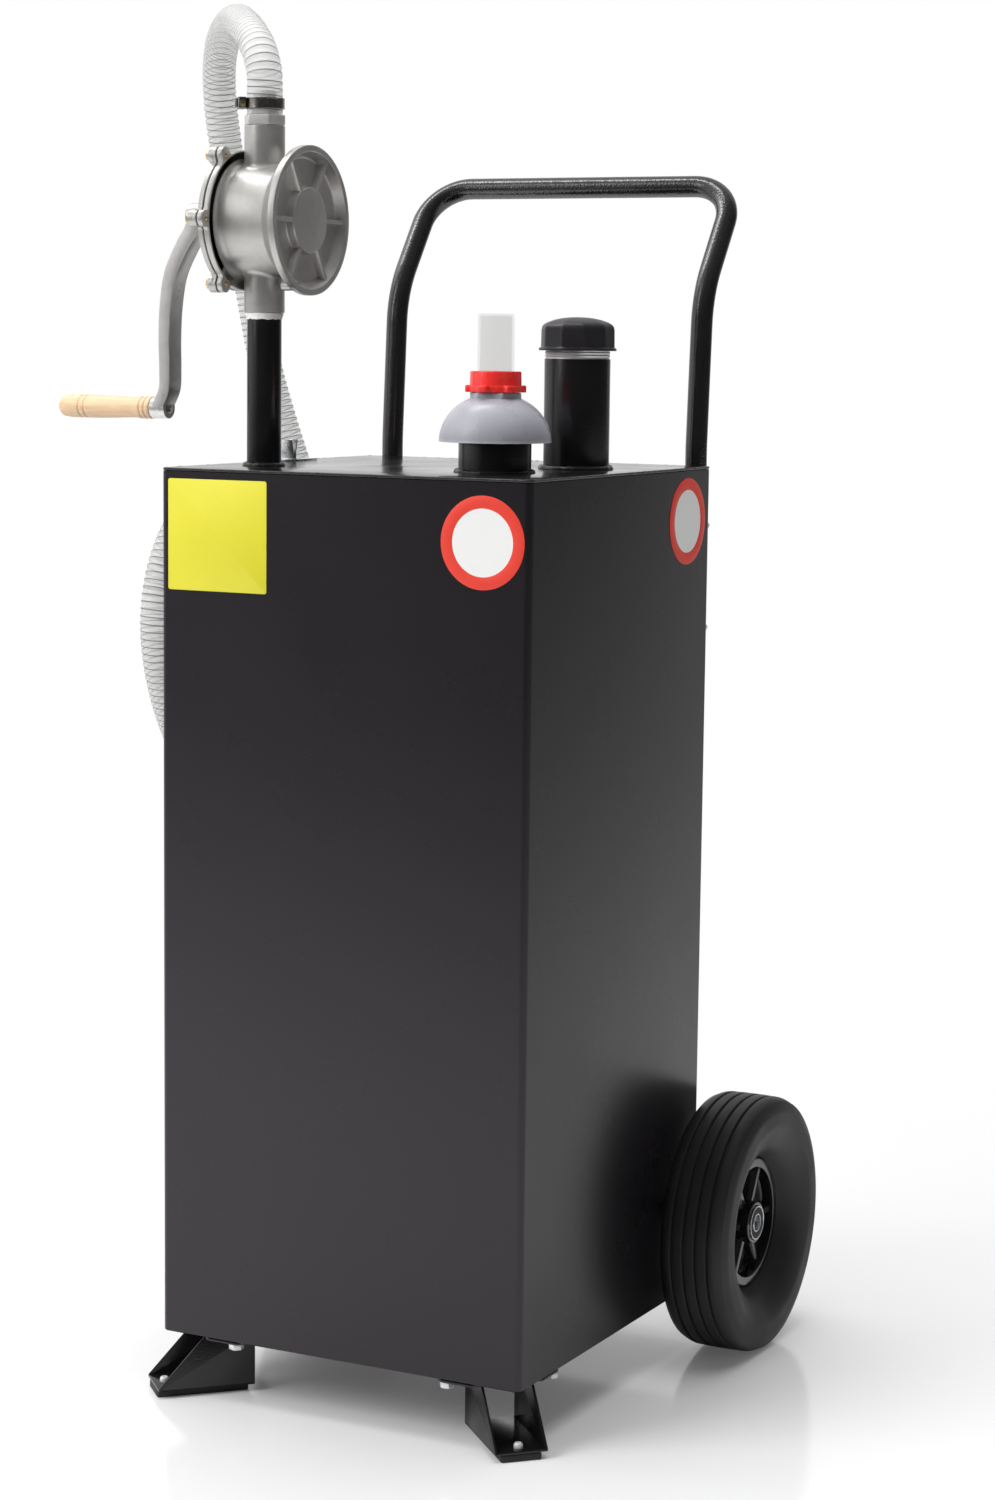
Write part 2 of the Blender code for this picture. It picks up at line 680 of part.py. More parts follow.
def tank_shell():
    """Folded sheet box, open at the top, with the weld nuts on its inside."""
    height = SHELL_TOP - TANK_RIDE
    bm = bmesh.new()
    bmesh.ops.create_cube(bm, size=1)
    bmesh.ops.scale(bm, vec=(TANK_WIDTH, TANK_DEPTH, height), verts=bm.verts)
    bmesh.ops.translate(bm, vec=(0, 0, TANK_RIDE + height / 2), verts=bm.verts)
    top = [f for f in bm.faces if f.normal.z > 0.5]
    bmesh.ops.delete(bm, geom=top, context="FACES_ONLY")
    shell = from_bmesh("tank_shell", bm, (0, 0, 0), mat=BLACK_COAT)
    rounding = shell.modifiers.new("Folded edges", "BEVEL")
    rounding.width = TANK_CORNER
    rounding.segments = 2
    rounding.limit_method = "ANGLE"
    wall = shell.modifiers.new("Sheet", "SOLIDIFY")
    wall.thickness = TANK_SHEET
    wall.offset = -1
    wall.use_even_offset = True

    bosses = bmesh.new()
    drills = bmesh.new()
    for x, y in foot_bolt_places():
        add_rod(bosses, BOSS_RADIUS, FLOOR_Z - TANK_SHEET / 2, FLOOR_Z + BOSS_DEPTH - TANK_SHEET, TINY_ROUND,
                (x, y))
        add_rod(drills, FOOT_BOLT_RADIUS + GAP, TANK_RIDE - OVERRUN, TANK_RIDE + BOSS_DEPTH - BOSS_CAP,
                TINY_ROUND, (x, y))
    back = Matrix.Rotation(math.pi / 2, 4, "X")
    for x, z in stud_places():
        for bm, radius, near, far, sides in (
                (bosses, BOSS_RADIUS, TANK_SHEET / 2, BOSS_DEPTH, TINY_ROUND),
                (drills, STUD_RADIUS + GAP, -OVERRUN, BOSS_DEPTH - BOSS_CAP, TINY_ROUND)):
            middle = Vector((x, TANK_DEPTH / 2 - (near + far) / 2, z))
            bmesh.ops.create_cone(
                bm, cap_ends=True, segments=sides, radius1=radius, radius2=radius,
                depth=far - near, matrix=Matrix.Translation(middle) @ back)
    combine(shell, from_bmesh("tank_weld_nuts", bosses, (0, 0, 0)), "UNION")
    combine(shell, from_bmesh("tank_nut_bores", drills, (0, 0, 0)))
    axle_lugs(shell)


def upright_x():
    """A rotation that stands an XY outline up in the YZ plane."""
    return (Matrix.Rotation(math.pi / 2, 3, "Z") @ Matrix.Rotation(math.pi / 2, 3, "X")).to_euler()


def axle_lugs(shell):
    """Two plates welded to the back face, each with a hole for the axle."""
    root = WHEEL_Y - TANK_DEPTH / 2 + TANK_SHEET / 2
    eye = arc((0, 0), LUG_RADIUS, -math.pi / 2, math.pi / 2, LUG_ARC_STEPS)
    outline = [(-root, -LUG_RADIUS * LUG_ROOT_SHARE)] + eye + [(-root, LUG_RADIUS * LUG_ROOT_SHARE)]
    for side in (-1, 1):
        label = "right" if side > 0 else "left"
        at = (side * LUG_X, WHEEL_Y, WHEEL_Z)
        lug = plate(f"{label}_axle_lug", outline, LUG_THICK, at)
        lug.rotation_euler = upright_x()
        combine(shell, lug, "UNION")
        combine(shell, rod(f"{label}_lug_hole", AXLE_RADIUS + GAP, -LUG_THICK, LUG_THICK, at, ALONG_X,
                           sides=SMALL_ROUND))


def tank_top():
    """Top plate with a hole for each of the three pipes."""
    bm = bmesh.new()
    bmesh.ops.create_cube(bm, size=1)
    bmesh.ops.scale(bm, vec=(TANK_WIDTH, TANK_DEPTH, TOP_SHEET), verts=bm.verts)
    upright = [e for e in bm.edges if abs(e.verts[0].co.z - e.verts[1].co.z) > TOP_SHEET / 2]
    bmesh.ops.bevel(bm, geom=upright, offset=TANK_CORNER, segments=3, affect="EDGES", profile=0.5)
    top = from_bmesh("tank_top", bm, (0, 0, TOP_Z - TOP_SHEET / 2), mat=BLACK_COAT)
    holes = bmesh.new()
    for x, y, radius in ((PUMP_X, PUMP_Y, RISER_RADIUS), (GAUGE_X, GAUGE_Y, NECK_RADIUS),
                         (FILL_X, FILL_Y, FILL_RADIUS)):
        add_rod(holes, radius + GAP, -OVERRUN, OVERRUN, ROUND, (x, y))
    combine(top, from_bmesh("tank_top_holes", holes, (0, 0, TOP_Z - TOP_SHEET / 2)))


def foot_bolt_places():
    """Where the four foot bolts stand, seen from above."""
    places = []
    for side in (-1, 1):
        for across in (-FOOT_BOLT_V, FOOT_BOLT_V):
            x = side * (TANK_WIDTH / 2 + FOOT_BOLT_U * DIAGONAL) + across * DIAGONAL
            y = -TANK_DEPTH / 2 - FOOT_BOLT_U * DIAGONAL + side * across * DIAGONAL
            places.append((x, y))
    return places


def stud_places():
    """Where the four handle studs stand on the back face."""
    return [(side * HANDLE_HALF_SPAN, z) for side in (-1, 1) for z in STUD_LEVELS]


def fill_neck():
    """Filler pipe with its thread, the gasket and the ten sided cap."""
    thread = FILL_RADIUS - FILL_THREAD_CUT
    bore = FILL_RADIUS - FILL_WALL
    shoulder = FILL_TOP - FILL_THREAD
    turned("fill_neck", (
        (thread, FILL_TOP), (thread, shoulder), (FILL_RADIUS, shoulder),
        (FILL_RADIUS, PLATE_Z - PIPE_BELOW), (bore, PLATE_Z - PIPE_BELOW), (bore, FILL_TOP)),
        (FILL_X, FILL_Y, 0), mat=BLACK_COAT, ring=True)
    seat = FILL_TOP + GAP
    ring("fill_cap_gasket", thread - GASKET_WIDTH, thread, seat, seat + GASKET_HEIGHT,
         (FILL_X, FILL_Y, 0), mat=RUBBER, sides=SMALL_ROUND)
    roof = seat + GASKET_HEIGHT + GAP
    sides_top = CAP_Z + CAP_SKIRT_HEIGHT + CAP_SIDE_HEIGHT
    dome = [(CAP_RADIUS * r, sides_top + CAP_DOME * z) for r, z in CAP_DOME_SHARES]
    skirt = [(dome[-1][0], CAP_Z + CAP_SKIRT_HEIGHT), (CAP_SKIRT, CAP_Z + CAP_SKIRT_HEIGHT * CAP_LIP_SHARE),
             (CAP_SKIRT, CAP_Z), (0, CAP_Z)]
    cap = turned("fill_cap", dome + skirt, (FILL_X, FILL_Y, 0), mat=BLACK_PLASTIC, sides=CAP_SIDES * 2)
    prism = rod("fill_cap_flats", CAP_RADIUS, CAP_Z + CAP_SKIRT_HEIGHT / 2,
                sides_top - CAP_DOME * CAP_FLAT_SHARE, (FILL_X, FILL_Y, 0), sides=CAP_SIDES)
    combine(cap, prism, "UNION")
    combine(cap, rod("fill_cap_bore", thread + CAP_THREAD_PLAY, CAP_Z - OVERRUN, roof, (FILL_X, FILL_Y, 0)))


def riser():
    """Riser pipe, suction tube, strainer and the tape on the thread."""
    low = PLATE_Z - PIPE_BELOW
    ring("riser_pipe", RISER_BORE, RISER_RADIUS, low, RISER_TOP, (PUMP_X, PUMP_Y, 0), mat=BLACK_COAT)
    outer = RISER_BORE - GAP
    bottom = FLOOR_Z + SUCTION_LIFT
    ring("suction_tube", outer - SUCTION_WALL, outer, bottom, RISER_TOP - GAP,
         (PUMP_X, PUMP_Y, 0), mat=PLATED, sides=SMALL_ROUND)
    inner = outer + GAP
    cup = inner + STRAINER_WALL
    high = bottom + STRAINER_SOCKET
    foot_z = high - STRAINER_LENGTH
    strainer = turned("suction_strainer", (
        (cup, high), (cup, foot_z), (0, foot_z), (0, foot_z + STRAINER_WALL),
        (outer - STRAINER_WALL, foot_z + STRAINER_WALL), (outer - STRAINER_WALL, bottom - GAP),
        (inner, bottom - GAP), (inner, high)),
        (PUMP_X, PUMP_Y, 0), mat=BLACK_PLASTIC, sides=SMALL_ROUND, ring=True)
    slot_height = STRAINER_LENGTH - STRAINER_SOCKET - 3 * STRAINER_WALL
    for i in range(STRAINER_SLOTS):
        slot = box(f"strainer_slot_{i + 1}", (3 * cup, STRAINER_SLOT, slot_height),
                   (PUMP_X, PUMP_Y, bottom - STRAINER_WALL - slot_height / 2),
                   (0, 0, math.pi * i / STRAINER_SLOTS))
        combine(strainer, slot)
    ring("thread_tape", RISER_RADIUS + GAP, RISER_RADIUS + GAP + TAPE_THICK,
         PORT_BOTTOM - GAP - TAPE_HEIGHT, PORT_BOTTOM - GAP, (PUMP_X, PUMP_Y, 0), mat=TAPE)


def across_x(turn):
    """A rotation that lays Z along X after a turn about its own Z."""
    return (Matrix.Rotation(math.pi / 2, 3, "Y") @ Matrix.Rotation(turn, 3, "Z")).to_euler()


def around(count, start=0.0):
    """Evenly spaced angles."""
    return [start + 2 * math.pi * i / count for i in range(count)]


def ear_ring(name, radius, low, high, sides=TINY_ROUND, mat=None):
    """Six upright rods on the pump's bolt circle."""
    bm = bmesh.new()
    for angle in around(EARS, math.pi / 2):
        add_rod(bm, radius, low, high, sides, (EAR_CIRCLE * math.cos(angle), EAR_CIRCLE * math.sin(angle)))
    return from_bmesh(name, bm, (PUMP_X, PUMP_Y, PUMP_Z), ALONG_X, mat)


def pump_body():
    """Cast housing: ribbed face, round case, bolted flange and two ports.

    Its own Z is the pump's axis and its own -X points up.
    """
    at = (PUMP_X, PUMP_Y, PUMP_Z)
    pocket = FACE_REACH - FACE_POCKET
    hub = FACE_REACH - HUB_SINK
    edge = FACE_REACH - FACE_EDGE
    flare = []
    for i in range(FLARE_POINTS + 1):
        share = i / FLARE_POINTS
        flare.append((CASE_RADIUS + (FACE_RADIUS - HUB_SINK - CASE_RADIUS) * (1 - share) ** FLARE_POWER,
                      edge - FLARE_LENGTH * share))
    front = FLANGE_BACK + FLANGE_THICK
    profile = [
        (0, hub), (FACE_HUB, hub), (FACE_HUB + HUB_SINK / 2, pocket),
        (FACE_RADIUS - FACE_RIM - HUB_SINK / 2, pocket), (FACE_RADIUS - FACE_RIM, FACE_REACH),
        (FACE_RADIUS, FACE_REACH), (FACE_RADIUS, edge)]
    profile += flare
    profile += [(CASE_RADIUS, front), (FLANGE_RADIUS, front), (FLANGE_RADIUS, FLANGE_BACK), (0, FLANGE_BACK)]
    body = turned("pump_body", profile, at, ALONG_X, CAST, sides=PUMP_ROUND)
    for i in range(RIB_BARS):
        bar = box(f"face_rib_{i + 1}", (2 * (FACE_RADIUS - FACE_RIM), RIB_THICK, hub - pocket + HUB_SINK),
                  (PUMP_X + (hub + pocket - HUB_SINK) / 2 - GAP, PUMP_Y, PUMP_Z),
                  across_x(math.pi / 2 + math.pi * i / RIB_BARS))
        combine(body, bar, "UNION")
    combine(body, ear_ring("pump_body_ears", EAR_RADIUS, FLANGE_BACK, front), "UNION")
    combine(body, rod("pump_ports", PORT_RADIUS, -PORT_DOWN, PORT_UP, at), "UNION")
    floor = FACE_REACH - BORE_FLOOR
    combine(body, rod("pump_bore", BORE_RADIUS, FLANGE_BACK - OVERRUN, floor, at, ALONG_X))
    combine(body, rod("shaft_socket", SHAFT_RADIUS + GAP, floor - OVERRUN, floor + SHAFT_SOCKET,
                      (PUMP_X, PUMP_Y, SHAFT_Z), ALONG_X, sides=SMALL_ROUND))
    combine(body, rod("port_bore", PORT_BORE, -PORT_DOWN - OVERRUN, PORT_UP + OVERRUN, at,
                      sides=SMALL_ROUND))
    combine(body, rod("riser_socket", RISER_RADIUS + GAP, -PORT_DOWN - OVERRUN, PORT_SOCKET - PORT_DOWN, at))
    combine(body, rod("nipple_socket", NIPPLE_HEX_RADIUS * NIPPLE_THREAD_SHARE + GAP, PORT_UP - PORT_SOCKET,
                      PORT_UP + OVERRUN, at))
    combine(body, ear_ring("pump_body_bolt_holes", BOLT_SHANK + GAP, FLANGE_BACK - OVERRUN, front + OVERRUN))


def pump_cover():
    """Back cover with six bolt ears and the shaft's boss, its gasket and seal."""
    at = (PUMP_X, PUMP_Y, PUMP_Z)
    shaft_at = (PUMP_X, PUMP_Y, SHAFT_Z)
    ring("pump_gasket", BORE_RADIUS + PAPER_INSET, PAPER_OUTER, COVER_FACE + GAP, FLANGE_BACK - GAP, at,
         ALONG_X, PAPER)
    cover = rod("pump_cover", FLANGE_RADIUS, COVER_BACK, COVER_FACE, at, ALONG_X, CAST, sides=PUMP_ROUND)
    combine(cover, ear_ring("cover_ears", EAR_RADIUS, COVER_BACK - EAR_BOSS, COVER_FACE), "UNION")
    root = COVER_BOSS_RADIUS * COVER_BOSS_ROOT_SHARE
    boss = turned("cover_boss", (
        (0, COVER_BACK + COVER_THICK / 2), (root, COVER_BACK + COVER_THICK / 2), (root, COVER_BACK),
        (COVER_BOSS_RADIUS, COVER_BACK - COVER_THICK), (COVER_BOSS_RADIUS, BOSS_END), (0, BOSS_END)),
        shaft_at, ALONG_X)
    combine(cover, boss, "UNION")
    combine(cover, rod("cover_shaft_hole", SHAFT_RADIUS + GAP, BOSS_END - OVERRUN, COVER_FACE + OVERRUN,
                       shaft_at, ALONG_X, sides=SMALL_ROUND))
    combine(cover, rod("seal_recess", SEAL_RADIUS + GAP, BOSS_END - OVERRUN, BOSS_END + SEAL_DEPTH + GAP,
                       shaft_at, ALONG_X, sides=SMALL_ROUND))
    combine(cover, ear_ring("cover_bolt_holes", BOLT_SHANK + GAP, COVER_BACK - 2 * OVERRUN,
                            COVER_FACE + OVERRUN))
    ring("shaft_seal", SHAFT_RADIUS + GAP, SEAL_RADIUS, BOSS_END, BOSS_END + SEAL_DEPTH, shaft_at, ALONG_X,
         RUBBER, SMALL_ROUND)


def cover_bolts():
    """Six hexagon bolts that hold the cover."""
    seat = COVER_BACK - EAR_BOSS - GAP
    tip = FLANGE_BACK + FLANGE_THICK + BOLT_STICKS_OUT
    for i, angle in enumerate(around(EARS, math.pi / 2)):
        up = -EAR_CIRCLE * math.cos(angle)
        side = EAR_CIRCLE * math.sin(angle)
        bolt = turned(f"cover_bolt_{i + 1}", (
            (0, tip), (BOLT_SHANK, tip), (BOLT_SHANK, seat), (BOLT_HEAD, seat),
            (BOLT_HEAD, seat - BOLT_HEAD_HEIGHT), (0, seat - BOLT_HEAD_HEIGHT)),
            (PUMP_X, PUMP_Y + side, PUMP_Z + up), ALONG_X, BRASS, sides=6)
        bolt.data.name = "cover_bolt"


def pump_rotor():
    """Shaft, slotted rotor and the vanes in its slots."""
    at = (PUMP_X, PUMP_Y, SHAFT_Z)
    floor = FACE_REACH - BORE_FLOOR
    low = COVER_FACE + GAP
    high = floor - GAP
    rotor = rod("pump_rotor", ROTOR_RADIUS, low, high, at, ALONG_X, CAST)
    for i in range(VANES // 2):
        slot = box(f"vane_slots_{i + 1}", (2 * VANE_REACH, VANE_THICK + 2 * GAP, high - low + OVERRUN),
                   (PUMP_X + (low + high) / 2, PUMP_Y, SHAFT_Z), across_x(math.pi * i / 2))
        core = rod(f"rotor_core_{i + 1}", VANE_REACH - VANE_DEPTH - GAP, low - OVERRUN, high + OVERRUN, at,
                   ALONG_X)
        combine(slot, core)
        combine(rotor, slot)
    combine(rotor, rod("rotor_bore", SHAFT_RADIUS + GAP, low - OVERRUN, high + OVERRUN, at, ALONG_X,
                       sides=SMALL_ROUND))
    for i in range(VANES):
        box(f"rotor_vane_{i + 1}", (VANE_DEPTH, VANE_THICK, high - low), at, across_x(math.pi * i / 2),
            CARBON, offset=(VANE_REACH - VANE_DEPTH / 2, 0, (low + high) / 2))
    rod("pump_shaft", SHAFT_RADIUS, SHAFT_END, floor + SHAFT_SOCKET - GAP, at, ALONG_X, PLATED,
        sides=SMALL_ROUND)


def crank():
    """Curved crank arm, the pin riveted to it and the wooden grip."""
    at = (PUMP_X, PUMP_Y, SHAFT_Z)
    line = smooth_points([(-reach, -drop, 0) for reach, drop in CRANK_LINE], CRANK_STEPS)
    left, right = [], []
    for i, point in enumerate(line):
        ahead = line[min(i + 1, len(line) - 1)] - line[max(i - 1, 0)]
        normal = Vector((ahead.y, -ahead.x, 0)).normalized()
        share = i / (len(line) - 1)
        half = (CRANK_TOP_THICK * (1 - share) + CRANK_END_THICK * share) / 2
        left.append((point + normal * half).to_2d())
        right.append((point - normal * half).to_2d())
    arm = plate("crank_arm", left + right[::-1], CRANK_WIDTH, at, (math.pi / 2, 0, 0), CAST)
    top = -CRANK_LINE[0][0]
    boss = rod("crank_boss", CRANK_BOSS_RADIUS, top - CRANK_BOSS_LENGTH / 2, top + CRANK_BOSS_LENGTH / 2, at,
               ALONG_X)
    combine(arm, boss, "UNION")
    pin_at = (PUMP_X, PUMP_Y, SHAFT_Z - PIN_DROP)
    middle = -PIN_REACH
    eye = rod("crank_pin_boss", PIN_BOSS_RADIUS, middle - PIN_BOSS_LENGTH / 2, middle + PIN_BOSS_LENGTH / 2,
              pin_at, ALONG_X)
    combine(arm, eye, "UNION")
    combine(arm, rod("crank_shaft_bore", SHAFT_RADIUS + GAP, top - CRANK_BOSS_LENGTH,
                     top + CRANK_BOSS_LENGTH, at, ALONG_X, sides=SMALL_ROUND))
    combine(arm, rod("crank_pin_bore", PIN_RADIUS + GAP, middle - PIN_BOSS_LENGTH, middle + PIN_BOSS_LENGTH,
                     pin_at, ALONG_X, sides=TINY_ROUND))

    rivet_low = middle + PIN_BOSS_LENGTH / 2 + GAP
    combine(arm, rod("crank_spot_face", PIN_RIVET + SPOT_FACE_PLAY, rivet_low - GAP,
                     rivet_low + PIN_BOSS_LENGTH, pin_at, ALONG_X, sides=SMALL_ROUND))
    end = GRIP_START - GRIP_LENGTH
    neck = end + PIN_HEAD_SINK
    wide, high = PIN_RIVET_SHARES
    turned("grip_pin", (
        (0, rivet_low + PIN_RIVET_HEIGHT), (PIN_RIVET * wide, rivet_low + PIN_RIVET_HEIGHT * high),
        (PIN_RIVET, rivet_low), (PIN_RADIUS, rivet_low), (PIN_RADIUS, neck), (PIN_HEAD, neck),
        (PIN_HEAD, end + GAP), (0, end + GAP)),
        pin_at, ALONG_X, PLATED, sides=TINY_ROUND)

    profile = [(GRIP_RADIUS - GRIP_NOSE / 2, GRIP_START), (GRIP_RADIUS, GRIP_START - GRIP_NOSE / 2)]
    for share, wide in GRIP_SHARES[::-1]:
        radius, z = GRIP_RADIUS * wide, end + GRIP_LENGTH * share
        if share in GRIP_GROOVE_PLACES_SHARE:
            profile += [(radius, z + GRIP_GROOVE_WIDTH), (radius - GRIP_GROOVE, z),
                        (radius, z - GRIP_GROOVE_WIDTH)]
        else:
            profile.append((radius, z))
    profile += [
        (PIN_HEAD + GAP, end), (PIN_HEAD + GAP, neck + GAP), (PIN_RADIUS + GAP, neck + GAP),
        (PIN_RADIUS + GAP, GRIP_START)]
    turned("crank_grip", profile, pin_at, ALONG_X, WOOD, sides=SMALL_ROUND, ring=True)


def band_clamp(name, location, heading):
    """Worm drive clamp: band, housing and screw in one piece."""
    inner = HOSE_RADIUS + CLAMP_PLAY
    band = ring(name, inner, inner + CLAMP_THICK, -CLAMP_HEIGHT / 2, CLAMP_HEIGHT / 2, location, mat=PLATED)
    reach = inner + CLAMP_THICK / 2 + CLAMP_BOX[1] / 2
    out = Vector((math.cos(heading), math.sin(heading), 0))
    spot = Vector(location) + out * reach
    housing = box(name + "_housing", CLAMP_BOX, spot, (0, 0, heading + math.pi / 2))
    combine(band, housing, "UNION")
    tangent = Matrix.Rotation(heading + math.pi / 2, 3, "Z") @ Matrix.Rotation(math.pi / 2, 3, "Y")
    screw = rod(name + "_screw", CLAMP_SCREW_RADIUS, -CLAMP_SCREW_LENGTH + CLAMP_BOX[0] / 2,
                CLAMP_BOX[0] / 2 - CLAMP_THICK, spot, sides=6)
    screw.rotation_euler = tangent.to_euler()
    combine(band, screw, "UNION")
    return band


def hose_fittings():
    """Hexagon nipple with a barbed tail, and the clamp over the hose."""
    at = (PUMP_X, PUMP_Y, 0)
    hex_low = PORT_TOP + GAP
    hex_high = hex_low + NIPPLE_HEX_HEIGHT
    spigot = NIPPLE_HEX_RADIUS * NIPPLE_THREAD_SHARE
    tip = hex_high + BARB_LENGTH
    profile = [(BARB_RADIUS - BARB_STEP, tip)]
    for i in range(BARB_RINGS):
        z = tip - BARB_LENGTH * BARB_PITCH_SHARE * (i + 1)
        profile += [(BARB_RADIUS, z), (BARB_RADIUS - BARB_STEP, z - BARB_STEP)]
    profile += [
        (BARB_RADIUS - BARB_STEP, hex_high - BARB_STEP), (spigot, hex_high - BARB_STEP),
        (spigot, hex_low - NIPPLE_SPIGOT), (NIPPLE_BORE, hex_low - NIPPLE_SPIGOT), (NIPPLE_BORE, tip)]
    nipple = turned("hose_nipple", profile, at, mat=PLATED, sides=SMALL_ROUND, ring=True)
    collar = rod("nipple_hex", NIPPLE_HEX_RADIUS, hex_low, hex_high, at, sides=6)
    combine(collar, rod("nipple_hex_bore", NIPPLE_BORE + BARB_STEP, hex_low - OVERRUN, hex_high + OVERRUN,
                        at, sides=SMALL_ROUND))
    combine(nipple, collar, "UNION")
    band_clamp("hose_clamp", (PUMP_X, PUMP_Y, HOSE_START + CLAMP_LIFT + CLAMP_HEIGHT / 2), CLAMP_HEADING)


def delivery_hose():
    """Clear ribbed hose, open right through, hung in a loop on the left face."""
    start, end = Vector(HOSE_ROUTE[0]), Vector(HOSE_ROUTE[-1])
    bends = smooth_points(HOSE_ROUTE, HOSE_CURVE_STEPS)[HOSE_CURVE_STEPS:-HOSE_CURVE_STEPS]
    _, length = even_points(bends, 1)
    count = round(length / HOSE_RIB_PITCH)
    ribs, _ = even_points(bends, 2 * count)
    radii = [1.0] + [HOSE_RIB_SHARE if i % 2 else 1.0 for i in range(len(ribs))] + [1.0]
    hose = tube("delivery_hose", [start] + ribs + [end], HOSE_RADIUS, (0, 0, 0), HOSE_PLASTIC, 2, radii)
    inside, _ = even_points(bends, round(length / HOSE_BORE_STEP))
    first = start - (ribs[0] - start).normalized() * OVERRUN
    last = end - (ribs[-1] - end).normalized() * OVERRUN
    combine(hose, tube("hose_bore", [first] + inside + [last], HOSE_BORE, (0, 0, 0), None, 2))
    total = length + (ribs[0] - start).length + (ribs[-1] - end).length
    gap = least_gap(ribs, length / (2 * count))
    print("hose length", round(total, 4), "least gap to itself", round(gap, 4))


def least_gap(points, step):
    """Smallest surface distance between stretches that aren't neighbours."""
    apart = round(math.pi * HOSE_RADIUS * 2 / step)
    many = len(points)
    gaps = [(points[i] - points[j]).length for i in range(many) for j in range(i + apart, many)]
    return min(gaps) - 2 * HOSE_RADIUS


def spout():
    """Bent metal spout in the hose's free end, and its clamp."""
    x, y, z = HOSE_ROUTE[-1]
    top = z + SPOUT_INSIDE
    elbow = z - SPOUT_DROP
    away = Vector((0, -math.sin(SPOUT_ANGLE), -math.cos(SPOUT_ANGLE)))
    turn_at = Vector((0, 0, elbow))
    corners = (Vector((0, 0, top)), turn_at, turn_at + away * (SPOUT_BEND + SPOUT_NOSE))
    path = rounded_path(corners, (SPOUT_BEND,), SPOUT_ARC_STEPS)
    pipe = tube("spout", path, SPOUT_RADIUS, (x, y, 0), PLATED, 3)
    inside = [path[0] + Vector((0, 0, OVERRUN))] + path[1:-1] + [path[-1] + away * OVERRUN]
    combine(pipe, tube("spout_bore", inside, SPOUT_RADIUS - SPOUT_WALL, (x, y, 0), None, 3))
    band_clamp("spout_clamp", (x, y, z + SPOUT_CLAMP_LIFT), math.pi)


def hose_hook():
    """Bent strip on the left face that carries the hose's loop."""
    outline = (
        (0, 0), (0, -HOOK_PLATE), (-HOOK_SHEET, -HOOK_PLATE), (-HOOK_SHEET, -HOOK_SHEET),
        (-HOOK_REACH, -HOOK_SHEET), (-HOOK_REACH, HOOK_LIP), (HOOK_SHEET - HOOK_REACH, HOOK_LIP),
        (HOOK_SHEET - HOOK_REACH, 0))
    plate("hose_hook", outline, HOOK_WIDTH, (-TANK_WIDTH / 2 - GAP, HOOK_Y, HOOK_TOP), ALONG_Y, BLACK_COAT)


def nozzle_clip():
    """Spring clip on the left edge of the top plate."""
    base_z = TOP_Z + GAP
    clip = box("nozzle_clip", (CLIP_WIDTH, CLIP_LENGTH, CLIP_SHEET), (CLIP_X, CLIP_Y, base_z), mat=PLATED,
               offset=(0, 0, CLIP_SHEET / 2))
    half = CLIP_THROAT / 2 + CLIP_SHEET
    rise = CLIP_PRONG_RISE
    outer = [(half, -CLIP_SHEET / 2), (half, rise * CLIP_WAIST_SHARE), (half + CLIP_PRONG_SPREAD / 2, rise)]
    inner = [(half + CLIP_PRONG_SPREAD / 2 - CLIP_SHEET, rise), (half - CLIP_SHEET, rise * CLIP_WAIST_SHARE),
             (half - CLIP_SHEET, CLIP_SHEET)]
    right = outer + inner
    outline = right + [(-x, z) for x, z in right[::-1]]
    prongs = plate("clip_prongs", outline, CLIP_WIDTH,
                   (CLIP_X, CLIP_Y + CLIP_PRONG_Y, base_z + CLIP_SHEET / 2))
    prongs.rotation_euler = upright_x()
    combine(clip, prongs, "UNION")


